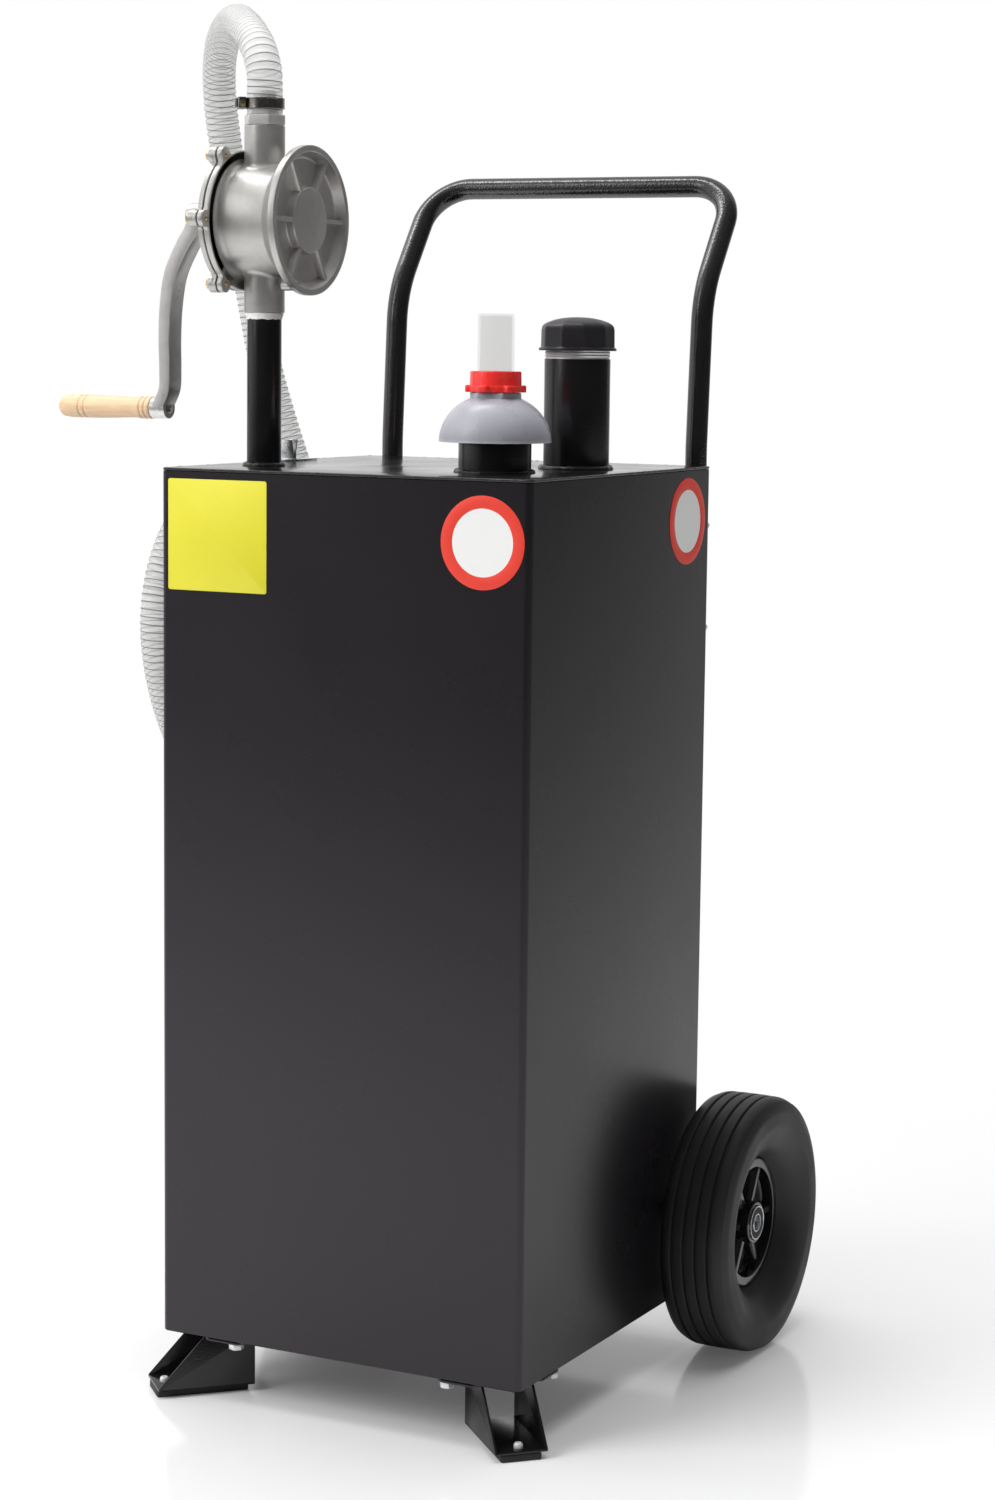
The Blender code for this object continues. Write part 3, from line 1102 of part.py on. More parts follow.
def gauge():
    """Level gauge: neck, domed base, nut, sight tube, stem and indicator."""
    at = (GAUGE_X, GAUGE_Y, 0)
    neck_bore = NECK_RADIUS - NECK_WALL
    neck_top = TOP_Z + NECK_LENGTH
    ring("gauge_neck", neck_bore, NECK_RADIUS, PLATE_Z - PIPE_BELOW, neck_top, at, mat=BLACK_COAT)

    plug = neck_bore - GAP
    spigot_top = HEX_Z + HEX_HEIGHT + SPIGOT_HEIGHT
    bore = STEM_RADIUS + GAP
    profile = [(SPIGOT_RADIUS, spigot_top), (SPIGOT_RADIUS, HEX_Z)]
    start = math.asin(HEX_RADIUS * HEX_OVERLAP_SHARE / DOME_RADIUS)
    for i in range(DOME_POINTS + 1):
        a = start + (math.pi / 2 - start) * i / DOME_POINTS
        profile.append((DOME_RADIUS * math.sin(a), DOME_Z + DOME_RISE * math.cos(a)))
    inner = DOME_RADIUS - DOME_WALL
    stop = math.asin((NECK_RADIUS + GAP) / inner)
    for i in range(DOME_POINTS):
        a = math.pi / 2 - (math.pi / 2 - stop) * i / (DOME_POINTS - 1)
        profile.append((inner * math.sin(a), DOME_Z + (DOME_RISE - DOME_WALL) * math.cos(a)))
    seat = neck_top + GAP
    profile += [(NECK_RADIUS + GAP, seat), (plug, seat), (plug, STEM_TOP), (bore, STEM_TOP),
                (bore, spigot_top)]
    base = turned("gauge_base", profile, at, mat=GREY_PLASTIC, ring=True)
    flats = rod("gauge_hex", HEX_RADIUS, HEX_Z - DOME_WALL, HEX_Z + HEX_HEIGHT, at, sides=6)
    combine(flats, rod("gauge_hex_bore", SPIGOT_RADIUS - DOME_WALL, HEX_Z - OVERRUN,
                       HEX_Z + 2 * HEX_HEIGHT, at))
    combine(base, flats, "UNION")

    sight_seat = SIGHT_Z + SIGHT_FLANGE + GAP
    hold = SIGHT_RADIUS + GAP
    nut_in = SPIGOT_RADIUS + GAP
    nut_top = NUT_Z + NUT_HEIGHT
    nut = turned("gauge_nut", (
        (NUT_RADIUS, nut_top), (NUT_RADIUS, NUT_Z), (nut_in, NUT_Z), (nut_in, sight_seat),
        (hold, sight_seat), (hold, max(nut_top, sight_seat + SIGHT_FLANGE))),
        at, mat=RED_PLASTIC, ring=True)
    lugs = bmesh.new()
    for angle in around(NUT_LUGS, math.pi / NUT_LUGS):
        spot = Matrix.Rotation(angle, 4, "Z") @ Matrix.Translation(
            (NUT_RADIUS + NUT_LUG / 4, 0, NUT_Z + NUT_LUG_HEIGHT / 2))
        bmesh.ops.create_cube(lugs, size=1, matrix=spot @ Matrix.Diagonal(
            (NUT_LUG + NUT_LUG / 2, NUT_LUG_WIDTH, NUT_LUG_HEIGHT, 1)))
    combine(nut, from_bmesh("gauge_nut_lugs", lugs, at), "UNION")

    flange = SPIGOT_RADIUS
    sight_top = SIGHT_Z + SIGHT_HEIGHT
    sight_bore = SIGHT_RADIUS - SIGHT_WALL
    turned("gauge_tube", (
        (0, sight_top), (SIGHT_RADIUS - SIGHT_WALL / 2, sight_top),
        (SIGHT_RADIUS, sight_top - SIGHT_WALL / 2), (SIGHT_RADIUS, SIGHT_Z + SIGHT_FLANGE),
        (flange, SIGHT_Z + SIGHT_FLANGE), (flange, SIGHT_Z),
        (sight_bore, SIGHT_Z), (sight_bore, sight_top - SIGHT_WALL), (0, sight_top - SIGHT_WALL)),
        at, mat=CLEAR_PLASTIC)

    stem_low = STEM_TOP - STEM_LENGTH
    stem = ring("gauge_stem", STEM_BORE, STEM_RADIUS, stem_low, spigot_top - GAP, at, mat=PLATED,
                sides=SMALL_ROUND)
    fork_turn = (0, 0, FLOAT_HEADING)
    fork = box("stem_fork", (FORK_WIDTH, FORK_WIDTH, FORK_HEIGHT), (GAUGE_X, GAUGE_Y, PIVOT_Z), fork_turn,
               offset=(0, 0, FORK_HEIGHT / 2 - PIVOT_DROP / 2))
    combine(fork, rod("fork_bore", STEM_BORE, 0, FORK_HEIGHT * 2, (GAUGE_X, GAUGE_Y, PIVOT_Z),
                      sides=SMALL_ROUND))
    combine(fork, box("fork_slot", (FORK_WIDTH * 2, ARM_EYE + 2 * GAP, FORK_HEIGHT),
                      (GAUGE_X, GAUGE_Y, PIVOT_Z), fork_turn, offset=(0, 0, PIVOT_DROP - FORK_HEIGHT / 2)))
    pin_turn = (Matrix.Rotation(FLOAT_HEADING, 3, "Z") @ Matrix.Rotation(math.pi / 2, 3, "X")).to_euler()
    combine(fork, rod("fork_pin_hole", PIVOT_RADIUS + GAP, -FORK_WIDTH, FORK_WIDTH,
                      (GAUGE_X, GAUGE_Y, PIVOT_Z), pin_turn, sides=TINY_ROUND))
    combine(stem, fork, "UNION")
    indicator_and_float(at, spigot_top, pin_turn)


def indicator_and_float(at, rest_z, pin_turn):
    """Indicator rod with its red button, and the float on its arm."""
    foot_z = PIVOT_Z + PIVOT_DROP + ROD_FOOT_CLEAR
    turned("gauge_rod", (
        (0, rest_z + BUTTON_HEIGHT), (BUTTON_RADIUS, rest_z + BUTTON_HEIGHT), (BUTTON_RADIUS, rest_z + GAP),
        (ROD_RADIUS, rest_z + GAP), (ROD_RADIUS, foot_z), (0, foot_z)),
        at, mat=RED_PLASTIC, sides=TINY_ROUND)
    low = -math.sin(FLOAT_START_ANGLE)
    out = math.cos(FLOAT_START_ANGLE)
    heading = Vector((math.cos(FLOAT_HEADING), math.sin(FLOAT_HEADING), 0))
    along = heading * out + Vector((0, 0, low))
    pivot = (GAUGE_X, GAUGE_Y, PIVOT_Z)
    arm = rod("float_arm", ARM_EYE, -ARM_EYE / 2, ARM_EYE / 2, pivot, pin_turn, PLATED, sides=SMALL_ROUND)
    side = Vector((0, 0, 1)).cross(heading)
    turn = Matrix((along, side, along.cross(side))).transposed()
    wire = box("float_wire", (ARM_LENGTH, ARM_THICK, ARM_THICK), pivot, turn.to_euler(),
               offset=(ARM_LENGTH / 2, 0, 0))
    combine(arm, wire, "UNION")
    spin = turn @ Matrix.Rotation(math.pi / 2, 3, "Y")
    can = turned("float_can", [(FLOAT_RADIUS * r, ARM_LENGTH + FLOAT_LENGTH * z) for r, z in FLOAT_SHARES],
                 pivot, spin.to_euler(), sides=SMALL_ROUND)
    combine(arm, can, "UNION")
    pin = rod("float_pin", PIVOT_RADIUS, -FORK_WIDTH / 2, FORK_WIDTH / 2, pivot, pin_turn, sides=TINY_ROUND)
    combine(arm, pin, "UNION")


def push_handle():
    """Bent tube handle on four studs behind the tank, with nuts and washers."""
    half = HANDLE_HALF_SPAN
    bend_y = LEG_Y + HANDLE_LEAN
    side = [(half, LEG_Y, HANDLE_FOOT), (half, LEG_Y, HANDLE_LEAN_START), (half, bend_y, HANDLE_BEND_Z),
            (half, HANDLE_TOP_Y, HANDLE_TOP_Z)]
    corners = [(-x, y, z) for x, y, z in side] + side[::-1]
    radii = [HANDLE_LEAN_RADIUS, HANDLE_BEND_RADIUS, HANDLE_CORNER_RADIUS]
    path = rounded_path(corners, radii + radii[::-1], HANDLE_ARC_STEPS)
    handle = tube("push_handle", path, TUBE_RADIUS, (0, 0, 0), BLACK_COAT, HANDLE_SIDES_STEP)
    holes = bmesh.new()
    for x, z in stud_places():
        matrix = Matrix.Translation((x, LEG_Y, z)) @ Matrix.Rotation(math.pi / 2, 4, "X")
        bmesh.ops.create_cone(holes, cap_ends=True, segments=TINY_ROUND, radius1=STUD_RADIUS + GAP,
                              radius2=STUD_RADIUS + GAP, depth=3 * TUBE_RADIUS, matrix=matrix)
    combine(handle, from_bmesh("handle_holes", holes, (0, 0, 0)))
    start = STUD_INSET
    face = -2 * (TUBE_RADIUS + GAP)
    washer = face - WASHER_THICK
    nut = washer - HEX_NUT_HEIGHT
    end = nut - STUD_TAIL
    for i, (x, z) in enumerate(stud_places()):
        stud = turned(f"handle_stud_{i + 1}", (
            (0, start), (STUD_RADIUS, start), (STUD_RADIUS, face), (WASHER_RADIUS, face),
            (WASHER_RADIUS, washer), (STUD_RADIUS, washer), (STUD_RADIUS, end), (0, end)),
            (x, TANK_DEPTH / 2, z), ALONG_Y, PLATED, sides=TINY_ROUND)
        grip = rod(f"handle_nut_{i + 1}", HEX_NUT_RADIUS, nut, washer + WASHER_THICK / 2,
                   (x, TANK_DEPTH / 2, z), ALONG_Y, sides=6)
        combine(stud, grip, "UNION")


def foot(name, side):
    """Folded steel foot under a front corner, with its rubber pad.

    Its own X points outwards along the diagonal, from the tank's corner.
    """
    at = (side * TANK_WIDTH / 2, -TANK_DEPTH / 2, 0)
    turn = (0, 0, math.radians(-45) if side > 0 else math.radians(-135))
    half = FOOT_WIDTH / 2
    wing = half + FOOT_FLANGE
    under = FOOT_TOP - FOOT_SHEET
    section = ((-wing, under), (-half, under), (-half, FOOT_BASE),
               (half, FOOT_BASE), (half, under), (wing, under))
    bm = bmesh.new()
    rows = [[bm.verts.new((x, y, z)) for y, z in section] for x in (-FOOT_HEEL, FOOT_NOSE)]
    for i in range(len(section) - 1):
        bm.faces.new((rows[0][i], rows[1][i], rows[1][i + 1], rows[0][i + 1]))
    bracket = from_bmesh(name, bm, at, turn, BLACK_COAT)
    sheet = bracket.modifiers.new("Sheet", "SOLIDIFY")
    sheet.thickness = FOOT_SHEET
    sheet.offset = 1
    sheet.use_even_offset = True
    lean = math.atan2(FOOT_SLOPE_RUN, FOOT_SLOPE_RISE)
    size = FOOT_HEEL + FOOT_NOSE
    trim = box(name + "_slope", (size, 2 * (wing + OVERRUN), 2 * size), at)
    trim.rotation_euler = (Matrix.Rotation(turn[2], 3, "Z") @ Matrix.Rotation(-lean, 3, "Y")).to_euler()
    tip = Vector((FOOT_NOSE, 0, FOOT_BASE + FOOT_SHEET))
    centre = tip + Matrix.Rotation(-lean, 3, "Y") @ Vector((size / 2, 0, 0))
    trim.location = Vector(at) + Matrix.Rotation(turn[2], 3, "Z") @ centre
    keep = box(name + "_sole", (2 * size, FOOT_WIDTH * 2, FOOT_BASE + FOOT_SHEET), at, turn,
               offset=(0, 0, (FOOT_BASE + FOOT_SHEET) / 2 - GAP))
    combine(trim, keep)
    combine(bracket, trim)
    foot_fixings(name, bracket, at, turn)


def foot_fixings(name, bracket, at, turn):
    """The foot's two bolts, its rubber pad and the screw that holds the pad."""
    spin = Matrix.Rotation(turn[2], 3, "Z")
    under = FOOT_TOP - FOOT_SHEET
    for i, across in enumerate((-FOOT_BOLT_V, FOOT_BOLT_V)):
        spot = Vector(at) + spin @ Vector((FOOT_BOLT_U, across, 0))
        shank = rod(f"{name}_bolt_shank_{i + 1}", FOOT_BOLT_RADIUS, under, TANK_RIDE + FOOT_BOLT_INSET, spot,
                    sides=TINY_ROUND)
        head = rod(f"{name}_bolt_head_{i + 1}", FOOT_BOLT_HEAD, under - FOOT_BOLT_HEAD_HEIGHT, under + GAP,
                   spot, sides=6)
        combine(bracket, shank, "UNION")
        combine(bracket, head, "UNION")
    box(name + "_pad", (PAD_LENGTH, PAD_WIDTH, PAD_HEIGHT), at, turn, RUBBER,
        offset=(FOOT_NOSE - PAD_LENGTH / 2, 0, PAD_HEIGHT / 2))
    spot = Vector(at) + spin @ Vector((FOOT_NOSE - PAD_SCREW_INSET, 0, 0))
    sole = FOOT_BASE + FOOT_SHEET
    combine(bracket, rod(name + "_screw", PAD_SCREW_HEAD, sole - FOOT_SHEET / 2, sole + PAD_SCREW_HEIGHT,
                         spot, sides=TINY_ROUND), "UNION")


def wheel(side):
    """Grooved tyre, ribbed rim and two bearings on one side."""
    label = "right" if side > 0 else "left"
    at = (side * WHEEL_X, WHEEL_Y, WHEEL_Z)
    turn = (0, side * math.pi / 2, 0)
    half = TYRE_WIDTH / 2
    outer = [(half * w, TYRE_RADIUS * r) for w, r in SIDEWALL_SHARES]
    profile = [(BEAD_RADIUS, BEAD_HALF)] + [(r, z) for z, r in outer[::-1]] + [(TYRE_RADIUS, TREAD_HALF)]
    for share in GROOVE_PLACES_SHARE:
        z = TREAD_HALF * share
        profile += [(TYRE_RADIUS, z + GROOVE_WIDTH / 2), (TYRE_RADIUS - GROOVE_DEPTH, z),
                    (TYRE_RADIUS, z - GROOVE_WIDTH / 2)]
    profile += [(TYRE_RADIUS, -TREAD_HALF)] + [(r, -z) for z, r in outer] + [(BEAD_RADIUS, -BEAD_HALF)]
    turned(f"{label}_tyre", profile, at, turn, RUBBER, WHEEL_ROUND, ring=True)

    barrel = BEAD_RADIUS - GAP
    inner = barrel - RIM_WALL
    seat = BEARING_RADIUS + GAP
    shelf_out = HUB_OUTER + BEARING_PROUD - BEARING_WIDTH - GAP
    shelf_in = HUB_INNER + BEARING_WIDTH + GAP
    relief = BEARING_BORE + RACE_WIDTH
    rim = turned(f"{label}_rim", (
        (RIM_LIP, RIM_HALF), (RIM_LIP, RIM_HALF - RIM_LIP_THICK), (barrel, RIM_HALF - RIM_LIP_THICK),
        (barrel, RIM_LIP_THICK - RIM_HALF), (RIM_LIP, RIM_LIP_THICK - RIM_HALF), (RIM_LIP, -RIM_HALF),
        (inner, -RIM_HALF), (inner, -WEB_THICK), (HUB_RADIUS, -WEB_THICK), (HUB_RADIUS, HUB_INNER),
        (seat, HUB_INNER), (seat, shelf_in), (relief, shelf_in), (relief, shelf_out), (seat, shelf_out),
        (seat, HUB_OUTER), (HUB_RADIUS, HUB_OUTER), (HUB_RADIUS, 0), (inner, 0), (inner, RIM_HALF)),
        at, turn, RIM_BLACK, WHEEL_ROUND, ring=True)
    rib_top = RIM_HALF - RIM_RIB_INSET
    for i in range(RIM_RIBS):
        rib = box(f"{label}_rim_rib_{i + 1}",
                  (2 * (inner + RIM_WALL / 2), RIM_RIB_THICK, rib_top + WEB_THICK / 2), at,
                  offset=(0, 0, (rib_top - WEB_THICK / 2) / 2))
        rib.rotation_euler = (Matrix.Rotation(turn[1], 3, "Y") @ Matrix.Rotation(
            math.pi * (2 * i + 1) / (2 * RIM_RIBS), 3, "Z")).to_euler()
        hole = rod(f"{label}_rim_rib_bore_{i + 1}", seat + GAP, -2 * RIM_HALF, 2 * RIM_HALF, at, turn)
        combine(rib, hole)
        combine(rim, rib, "UNION")
    low = HUB_OUTER + BEARING_PROUD - BEARING_WIDTH
    high = low + BEARING_WIDTH
    turned(f"{label}_outer_bearing", (
        (BEARING_RADIUS, high), (BEARING_RADIUS, low), (BEARING_BORE, low), (BEARING_BORE, high),
        (BEARING_BORE + RACE_WIDTH, high), (BEARING_BORE + RACE_WIDTH, high - RACE_SINK),
        (BEARING_RADIUS - RACE_WIDTH, high - RACE_SINK), (BEARING_RADIUS - RACE_WIDTH, high)),
        at, turn, PLATED, sides=SMALL_ROUND, ring=True)
    ring(f"{label}_inner_bearing", BEARING_BORE, BEARING_RADIUS, HUB_INNER, HUB_INNER + BEARING_WIDTH, at,
         turn, PLATED, SMALL_ROUND)


def axle():
    """Axle across the back, carried by the two lugs on the tank."""
    reach = WHEEL_X + HUB_OUTER + BEARING_PROUD - AXLE_RECESS
    rod("axle", AXLE_RADIUS, -reach, reach, (0, WHEEL_Y, WHEEL_Z), ALONG_X, PLATED, sides=SMALL_ROUND)


def build():
    """Model the whole caddy."""
    tank_shell()
    tank_top()
    riser()
    fill_neck()
    gauge()
    pump_body()
    pump_cover()
    cover_bolts()
    pump_rotor()
    crank()
    hose_fittings()
    delivery_hose()
    spout()
    hose_hook()
    nozzle_clip()
    push_handle()
    foot("left_foot", -1)
    foot("right_foot", 1)
    wheel(-1)
    wheel(1)
    axle()


build()
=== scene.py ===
"""Fuel caddy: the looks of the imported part, in the photograph's view.

Forms are drawn in millimetres. Heights are above the floor, and X and Y are
measured from the middle of the tank: Form.make turns them into metres and
moves them by SHIFT into the part's frame. Camera, stage, lamps and textures
are in metres.
"""
import math

import bmesh
import bpy
from mathutils import Matrix, Vector, noise

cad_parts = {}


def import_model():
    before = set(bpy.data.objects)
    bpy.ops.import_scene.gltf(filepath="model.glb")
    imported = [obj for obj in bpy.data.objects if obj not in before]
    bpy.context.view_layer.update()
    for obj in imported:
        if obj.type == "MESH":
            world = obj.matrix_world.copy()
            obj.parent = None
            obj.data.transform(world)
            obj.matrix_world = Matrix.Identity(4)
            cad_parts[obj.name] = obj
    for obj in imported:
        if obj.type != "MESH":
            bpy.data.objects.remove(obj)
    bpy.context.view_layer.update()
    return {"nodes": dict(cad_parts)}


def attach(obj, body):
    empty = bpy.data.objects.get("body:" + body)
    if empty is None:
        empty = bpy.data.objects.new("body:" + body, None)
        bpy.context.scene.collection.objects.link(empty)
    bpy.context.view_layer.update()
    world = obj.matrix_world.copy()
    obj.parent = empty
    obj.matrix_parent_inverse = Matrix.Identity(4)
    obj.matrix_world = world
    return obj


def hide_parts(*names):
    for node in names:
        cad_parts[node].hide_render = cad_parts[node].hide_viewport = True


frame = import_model()
nodes = frame["nodes"]

MM = 0.001
SHIFT = Vector((0.04915, -0.062376, 0.0))
GAP = 0.3
TINY = 1e-3
ROOT = "caddy"

# The photograph's camera
AZIMUTH, PITCH, ROLL = (math.radians(a) for a in (27.249, 7.382, 0.668))
CAMERA_AT = Vector((1.5018, -2.7934, 1.0431)) + SHIFT
LENS, SENSOR = 51.56, 24.0

# Tank
WIDTH, DEPTH = 396, 403
TANK_LOW, TOP_Z = 62, 912
SHEET, PLATE = 2, 3
CORNER = 6.5
LUG_X, LUG_THICK, LUG_RADIUS = 140, 4, 18

# Pipes on the top plate
PIPE_LOW = TOP_Z - 17
PUMP_X, PUMP_Y = -140.5, -107
GAUGE_X, GAUGE_Y = 100, -84
FILL_X, FILL_Y = 124, 42
RISER_RADIUS, RISER_BORE = 16.7, 13.2
FILL_RADIUS, FILL_BORE, FILL_TOP = 32.1, 29, TOP_Z + 133
FILL_THREAD, THREAD_PITCH, THREAD_DEPTH = 26.5, 2.8, 1.2
NECK_RADIUS, NECK_BORE, NECK_TOP = 34.5, 29, TOP_Z + 46
CAP_LOW, CAP_ROOF, CAP_SIDES = 1026.5, 1047.7, 10

# Pump, from the riser's axis: +X is the ribbed face and -X the crank
PUMP_Z, SHAFT_Z = 1147.1, 1151.6
PORT_LOW, PORT_HIGH = PUMP_Z - 87.8, PUMP_Z + 90
PORT_RADIUS, PORT_BORE, PORT_SEAT, PORT_ROOT = 19.6, 13.1, 14.2, 46
CASE_RADIUS, CASE_BORE, CASE_FLOOR = 52.5, 44, 37
FACE_RADIUS, FACE_REACH, FACE_POCKET = 71, 53, 43
FLANGE_RADIUS, FLANGE_BACK, FLANGE_THICK = 67, -27.3, 6
EAR_CIRCLE, EAR_RADIUS, EARS = 70, 8.5, 6
EAR_ROOT, EAR_ROOT_WIDE, EAR_ROOT_RISE = 0.115, 0.03, 1.2
COVER_FACE, COVER_BACK, EAR_BOSS = -28.5, -34, 3.5
BOSS_RADIUS, BOSS_END, SEAL_RADIUS, SEAL_DEPTH = 17, -52, 12.8, 6.3
SHAFT_RADIUS, SHAFT_END = 8, -83
CRANK_LINE = (
    (74, 0), (78, 14), (88.6, 30), (101.4, 56), (107, 88), (108.4, 120), (107.9, 148), (109, 168),
    (118, 186))
CRANK_TOP_THICK, CRANK_END_THICK, CRANK_WIDTH, CRANK_EDGE = 16, 12, 22, 1.3
CRANK_BOSS_RADIUS, CRANK_BOSS_HALF = 13, 9
PIN_BOSS_RADIUS, PIN_BOSS_HALF, PIN_RADIUS = 10.5, 9, 4
GRIP_START, GRIP_LENGTH, GRIP_RADIUS = -127.3, 107.5, 11.5

# Hose
HOSE_RADIUS, HOSE_BORE = 17.5, 13.6
HOSE_PITCH, RIB_DEPTH, RIB_SINK = 6.6, 0.7, 0.2
HOSE_LENGTH, HOSE_SIDES = 2440, 32
HOSE_ROUTE = (
    (-140.5, -107, 1247.4), (-140.5, -107, 1282.4), (-151, -99.5, 1308), (-174, -77.5, 1326),
    (-199, -49, 1337), (-227, -17.5, 1345.5), (-259, 18, 1344), (-288, 51, 1331), (-306, 74, 1308),
    (-313.5, 88, 1276), (-315, 100, 1236), (-312, 111, 1188), (-306, 120, 1135), (-298, 128, 1075),
    (-286, 134, 1005), (-270, 138.5, 948), (-251, 143, 890), (-234, 147, 830), (-221.5, 147, 765),
    (-216.5, 137, 696), (-216.5, 112, 633), (-216.5, 66, 586), (-216.5, 7, 564), (-216.5, -52, 572),
    (-216.5, -101, 603), (-216.5, -140, 649), (-216.5, -166.5, 699), (-216.5, -178.5, 751),
    (-216.8, -171.5, 799), (-217.2, -148, 839), (-218, -111, 868), (-219.5, -64, 884), (-223, -15, 886),
    (-231, 31, 873), (-241, 68.5, 845), (-250, 92.5, 803), (-255.5, 101, 750), (-256, 98, 690),
    (-256, 89, 620), (-256, 77.5, 540), (-256, 65, 460), (-256, 54, 385), (-256, 46, 310),
    (-256, 42, 242), (-256, 42, 194))

# Wheels, from the tyre's middle outwards
WHEEL_X, WHEEL_Y = 240, 219
TYRE_RADIUS, TYRE_WIDTH, TREAD_HALF = 132, 74, 26
TYRE_FLANK = ((0.265, 0.505), (0.72, 0.605), (0.98, 0.760), (1.00, 0.880), (0.90, 0.970))
TREAD_GROOVES, GROOVE_HALF, GROOVE_DEPTH = (0.75, 0.25, -0.25, -0.75), 1.7, 3
BEAD_RADIUS, BEAD_HALF = 62.3, 9.8
RIM_RADIUS, RIM_HALF, RIM_LIP, RIM_RIBS = 66, 13.3, 3, 6
HUB_RADIUS, HUB_OUTER, HUB_INNER, HUB_BORE = 21.5, 17.6, -28, 11.2
BEARING_RADIUS, BEARING_BORE, BEARING_WIDTH, BEARING_OUT = 17.5, 8.2, 11, 2
AXLE_RADIUS, AXLE_SINK = 7.9, 4


# Geometry

class Form:
    """Points and faces of one piece, gathered from simpler forms."""

    def __init__(self):
        self.points, self.faces, self.slots, self.uvs = [], [], [], []

    def add(self, rows, closed=False, caps=(True, True), slot=0, matrix=None, uvs=None):
        """Joins rows of points with faces. A row of one point closes to a tip."""
        matrix = matrix or Matrix()
        starts, first = [], len(self.faces)
        for row in rows:
            starts.append((len(self.points), len(row)))
            self.points += [matrix @ Vector(p) for p in row]
        pairs = list(zip(starts, starts[1:]))
        if closed:
            pairs.append((starts[-1], starts[0]))
        for k, ((a, na), (b, nb)) in enumerate(pairs):
            n = max(na, nb)
            for i in range(n):
                j = (i + 1) % n
                near, far = [a] if na == 1 else [a + i, a + j], [b] if nb == 1 else [b + j, b + i]
                self.faces.append(near + far)
                if uvs:
                    low, high = uvs[k], uvs[k + 1]
                    self.uvs.append([(i / n, low), ((i + 1) / n, low), ((i + 1) / n, high), (i / n, high)])
        if not closed:
            for (a, n), wanted in zip((starts[0], starts[-1]), caps):
                if wanted and n > 2:
                    self.faces.append(list(range(a, a + n)))
        self.slots += [slot] * (len(self.faces) - first)

    def make(self, name, node, mats, body=ROOT, sharp=32):
        """Turns the form into an object that rides on a body and stands for a CAD node."""
        mats = mats if isinstance(mats, list) else [mats]
        mesh = bpy.data.meshes.new(name)
        mesh.from_pydata([p * MM + SHIFT for p in self.points], [], self.faces)
        for mat in mats:
            mesh.materials.append(mat)
        mesh.polygons.foreach_set("material_index", self.slots)
        if self.uvs:
            layer = mesh.uv_layers.new(name="along")
            layer.data.foreach_set("uv", [c for face in self.uvs for uv in face for c in uv])
        bm = bmesh.new()
        bm.from_mesh(mesh)
        bmesh.ops.recalc_face_normals(bm, faces=bm.faces)
        bm.to_mesh(mesh)
        bm.free()
        shade(mesh, sharp)
        obj = bpy.data.objects.new(name, mesh)
        bpy.context.scene.collection.objects.link(obj)
        if body:
            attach(obj, body)
        if node:
            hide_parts(node)
        return obj


def shade(mesh, sharp):
    """Smooth shading, with edges over that angle kept sharp."""
    mesh.polygons.foreach_set("use_smooth", [True] * len(mesh.polygons))
    mesh.set_sharp_from_angle(angle=math.radians(sharp))
    mesh.update()


def arc(start, corner, end, steps):
    """Points of a small arc that rounds off a corner."""
    shares = [k / steps for k in range(steps + 1)]
    return [start * (1 - t) ** 2 + corner * 2 * t * (1 - t) + end * t * t for t in shares]


def rounded(profile, radius, steps=3, closed=False):
    """A profile with each corner turned into a small arc. A third number in a
    point is that corner's own radius."""
    count = len(profile)
    result = []
    for i, point in enumerate(profile):
        here = Vector(point[:2])
        reach = point[2] if len(point) > 2 else radius
        if reach <= 0 or (not closed and i in (0, count - 1)):
            result.append(here)
            continue
        before = Vector(profile[i - 1][:2]) - here
        after = Vector(profile[(i + 1) % count][:2]) - here
        cut_off = min(reach, before.length * 0.48, after.length * 0.48)
        if cut_off < TINY:
            result.append(here)
            continue
        result += arc(here + before.normalized() * cut_off, here, here + after.normalized() * cut_off, steps)
    return result


def softened(outline, radius, steps=3):
    """A closed outline with round corners, as pairs."""
    return [tuple(p) for p in rounded(outline, radius, steps, closed=True)]


def circle(radius, sides, z=0.0):
    """Points of a circle across the Z axis."""
    turns = [2 * math.pi * i / sides for i in range(sides)]
    return [(radius * math.cos(t), radius * math.sin(t), z) for t in turns]


def lathe(form, profile, sides=64, matrix=None, closed=False, slot=0, soft=0, steps=3):
    """A profile of radius and height turned round the Z axis, its corners rounded by soft."""
    if soft:
        profile = rounded(profile, soft, steps, closed)
    rows = [circle(r, sides, z) if r > TINY else [(0, 0, z)] for r, z in profile]
    form.add(rows, closed=closed, slot=slot, matrix=matrix)


def spread(outline, inset):
    """An outline moved inwards by inset along its own normals."""
    count = len(outline)
    area = sum(outline[i - 1][0] * outline[i][1] - outline[i][0] * outline[i - 1][1] for i in range(count))
    sign = 1 if area > 0 else -1
    result = []
    for i, (x, y) in enumerate(outline):
        a, b = Vector(outline[i - 1]), Vector(outline[(i + 1) % count])
        here = Vector((x, y))
        one, two = (here - a).normalized(), (b - here).normalized()
        normal = (Vector((-one.y - two.y, one.x + two.x)) * sign).normalized()
        stretch = min(1 / max(normal.dot(Vector((-one.y, one.x)) * sign), 0.4), 2.5)
        result.append((x + normal.x * inset * stretch, y + normal.y * inset * stretch))
    return result


def slab(form, outline, low, high, edge=0.5, matrix=None, slot=0, steps=2):
    """An outline drawn up from low to high, with rounded edges."""
    edge = min(edge, abs(high - low) * 0.45)
    section = []
    for i in range(steps + 1):
        turn = math.pi / 2 * i / steps
        section.append((edge * (1 - math.sin(turn)), low + edge * (1 - math.cos(turn))))
    section += [(inset, high + low - z) for inset, z in section[::-1]]
    drawn(form, outline, section, matrix, slot)


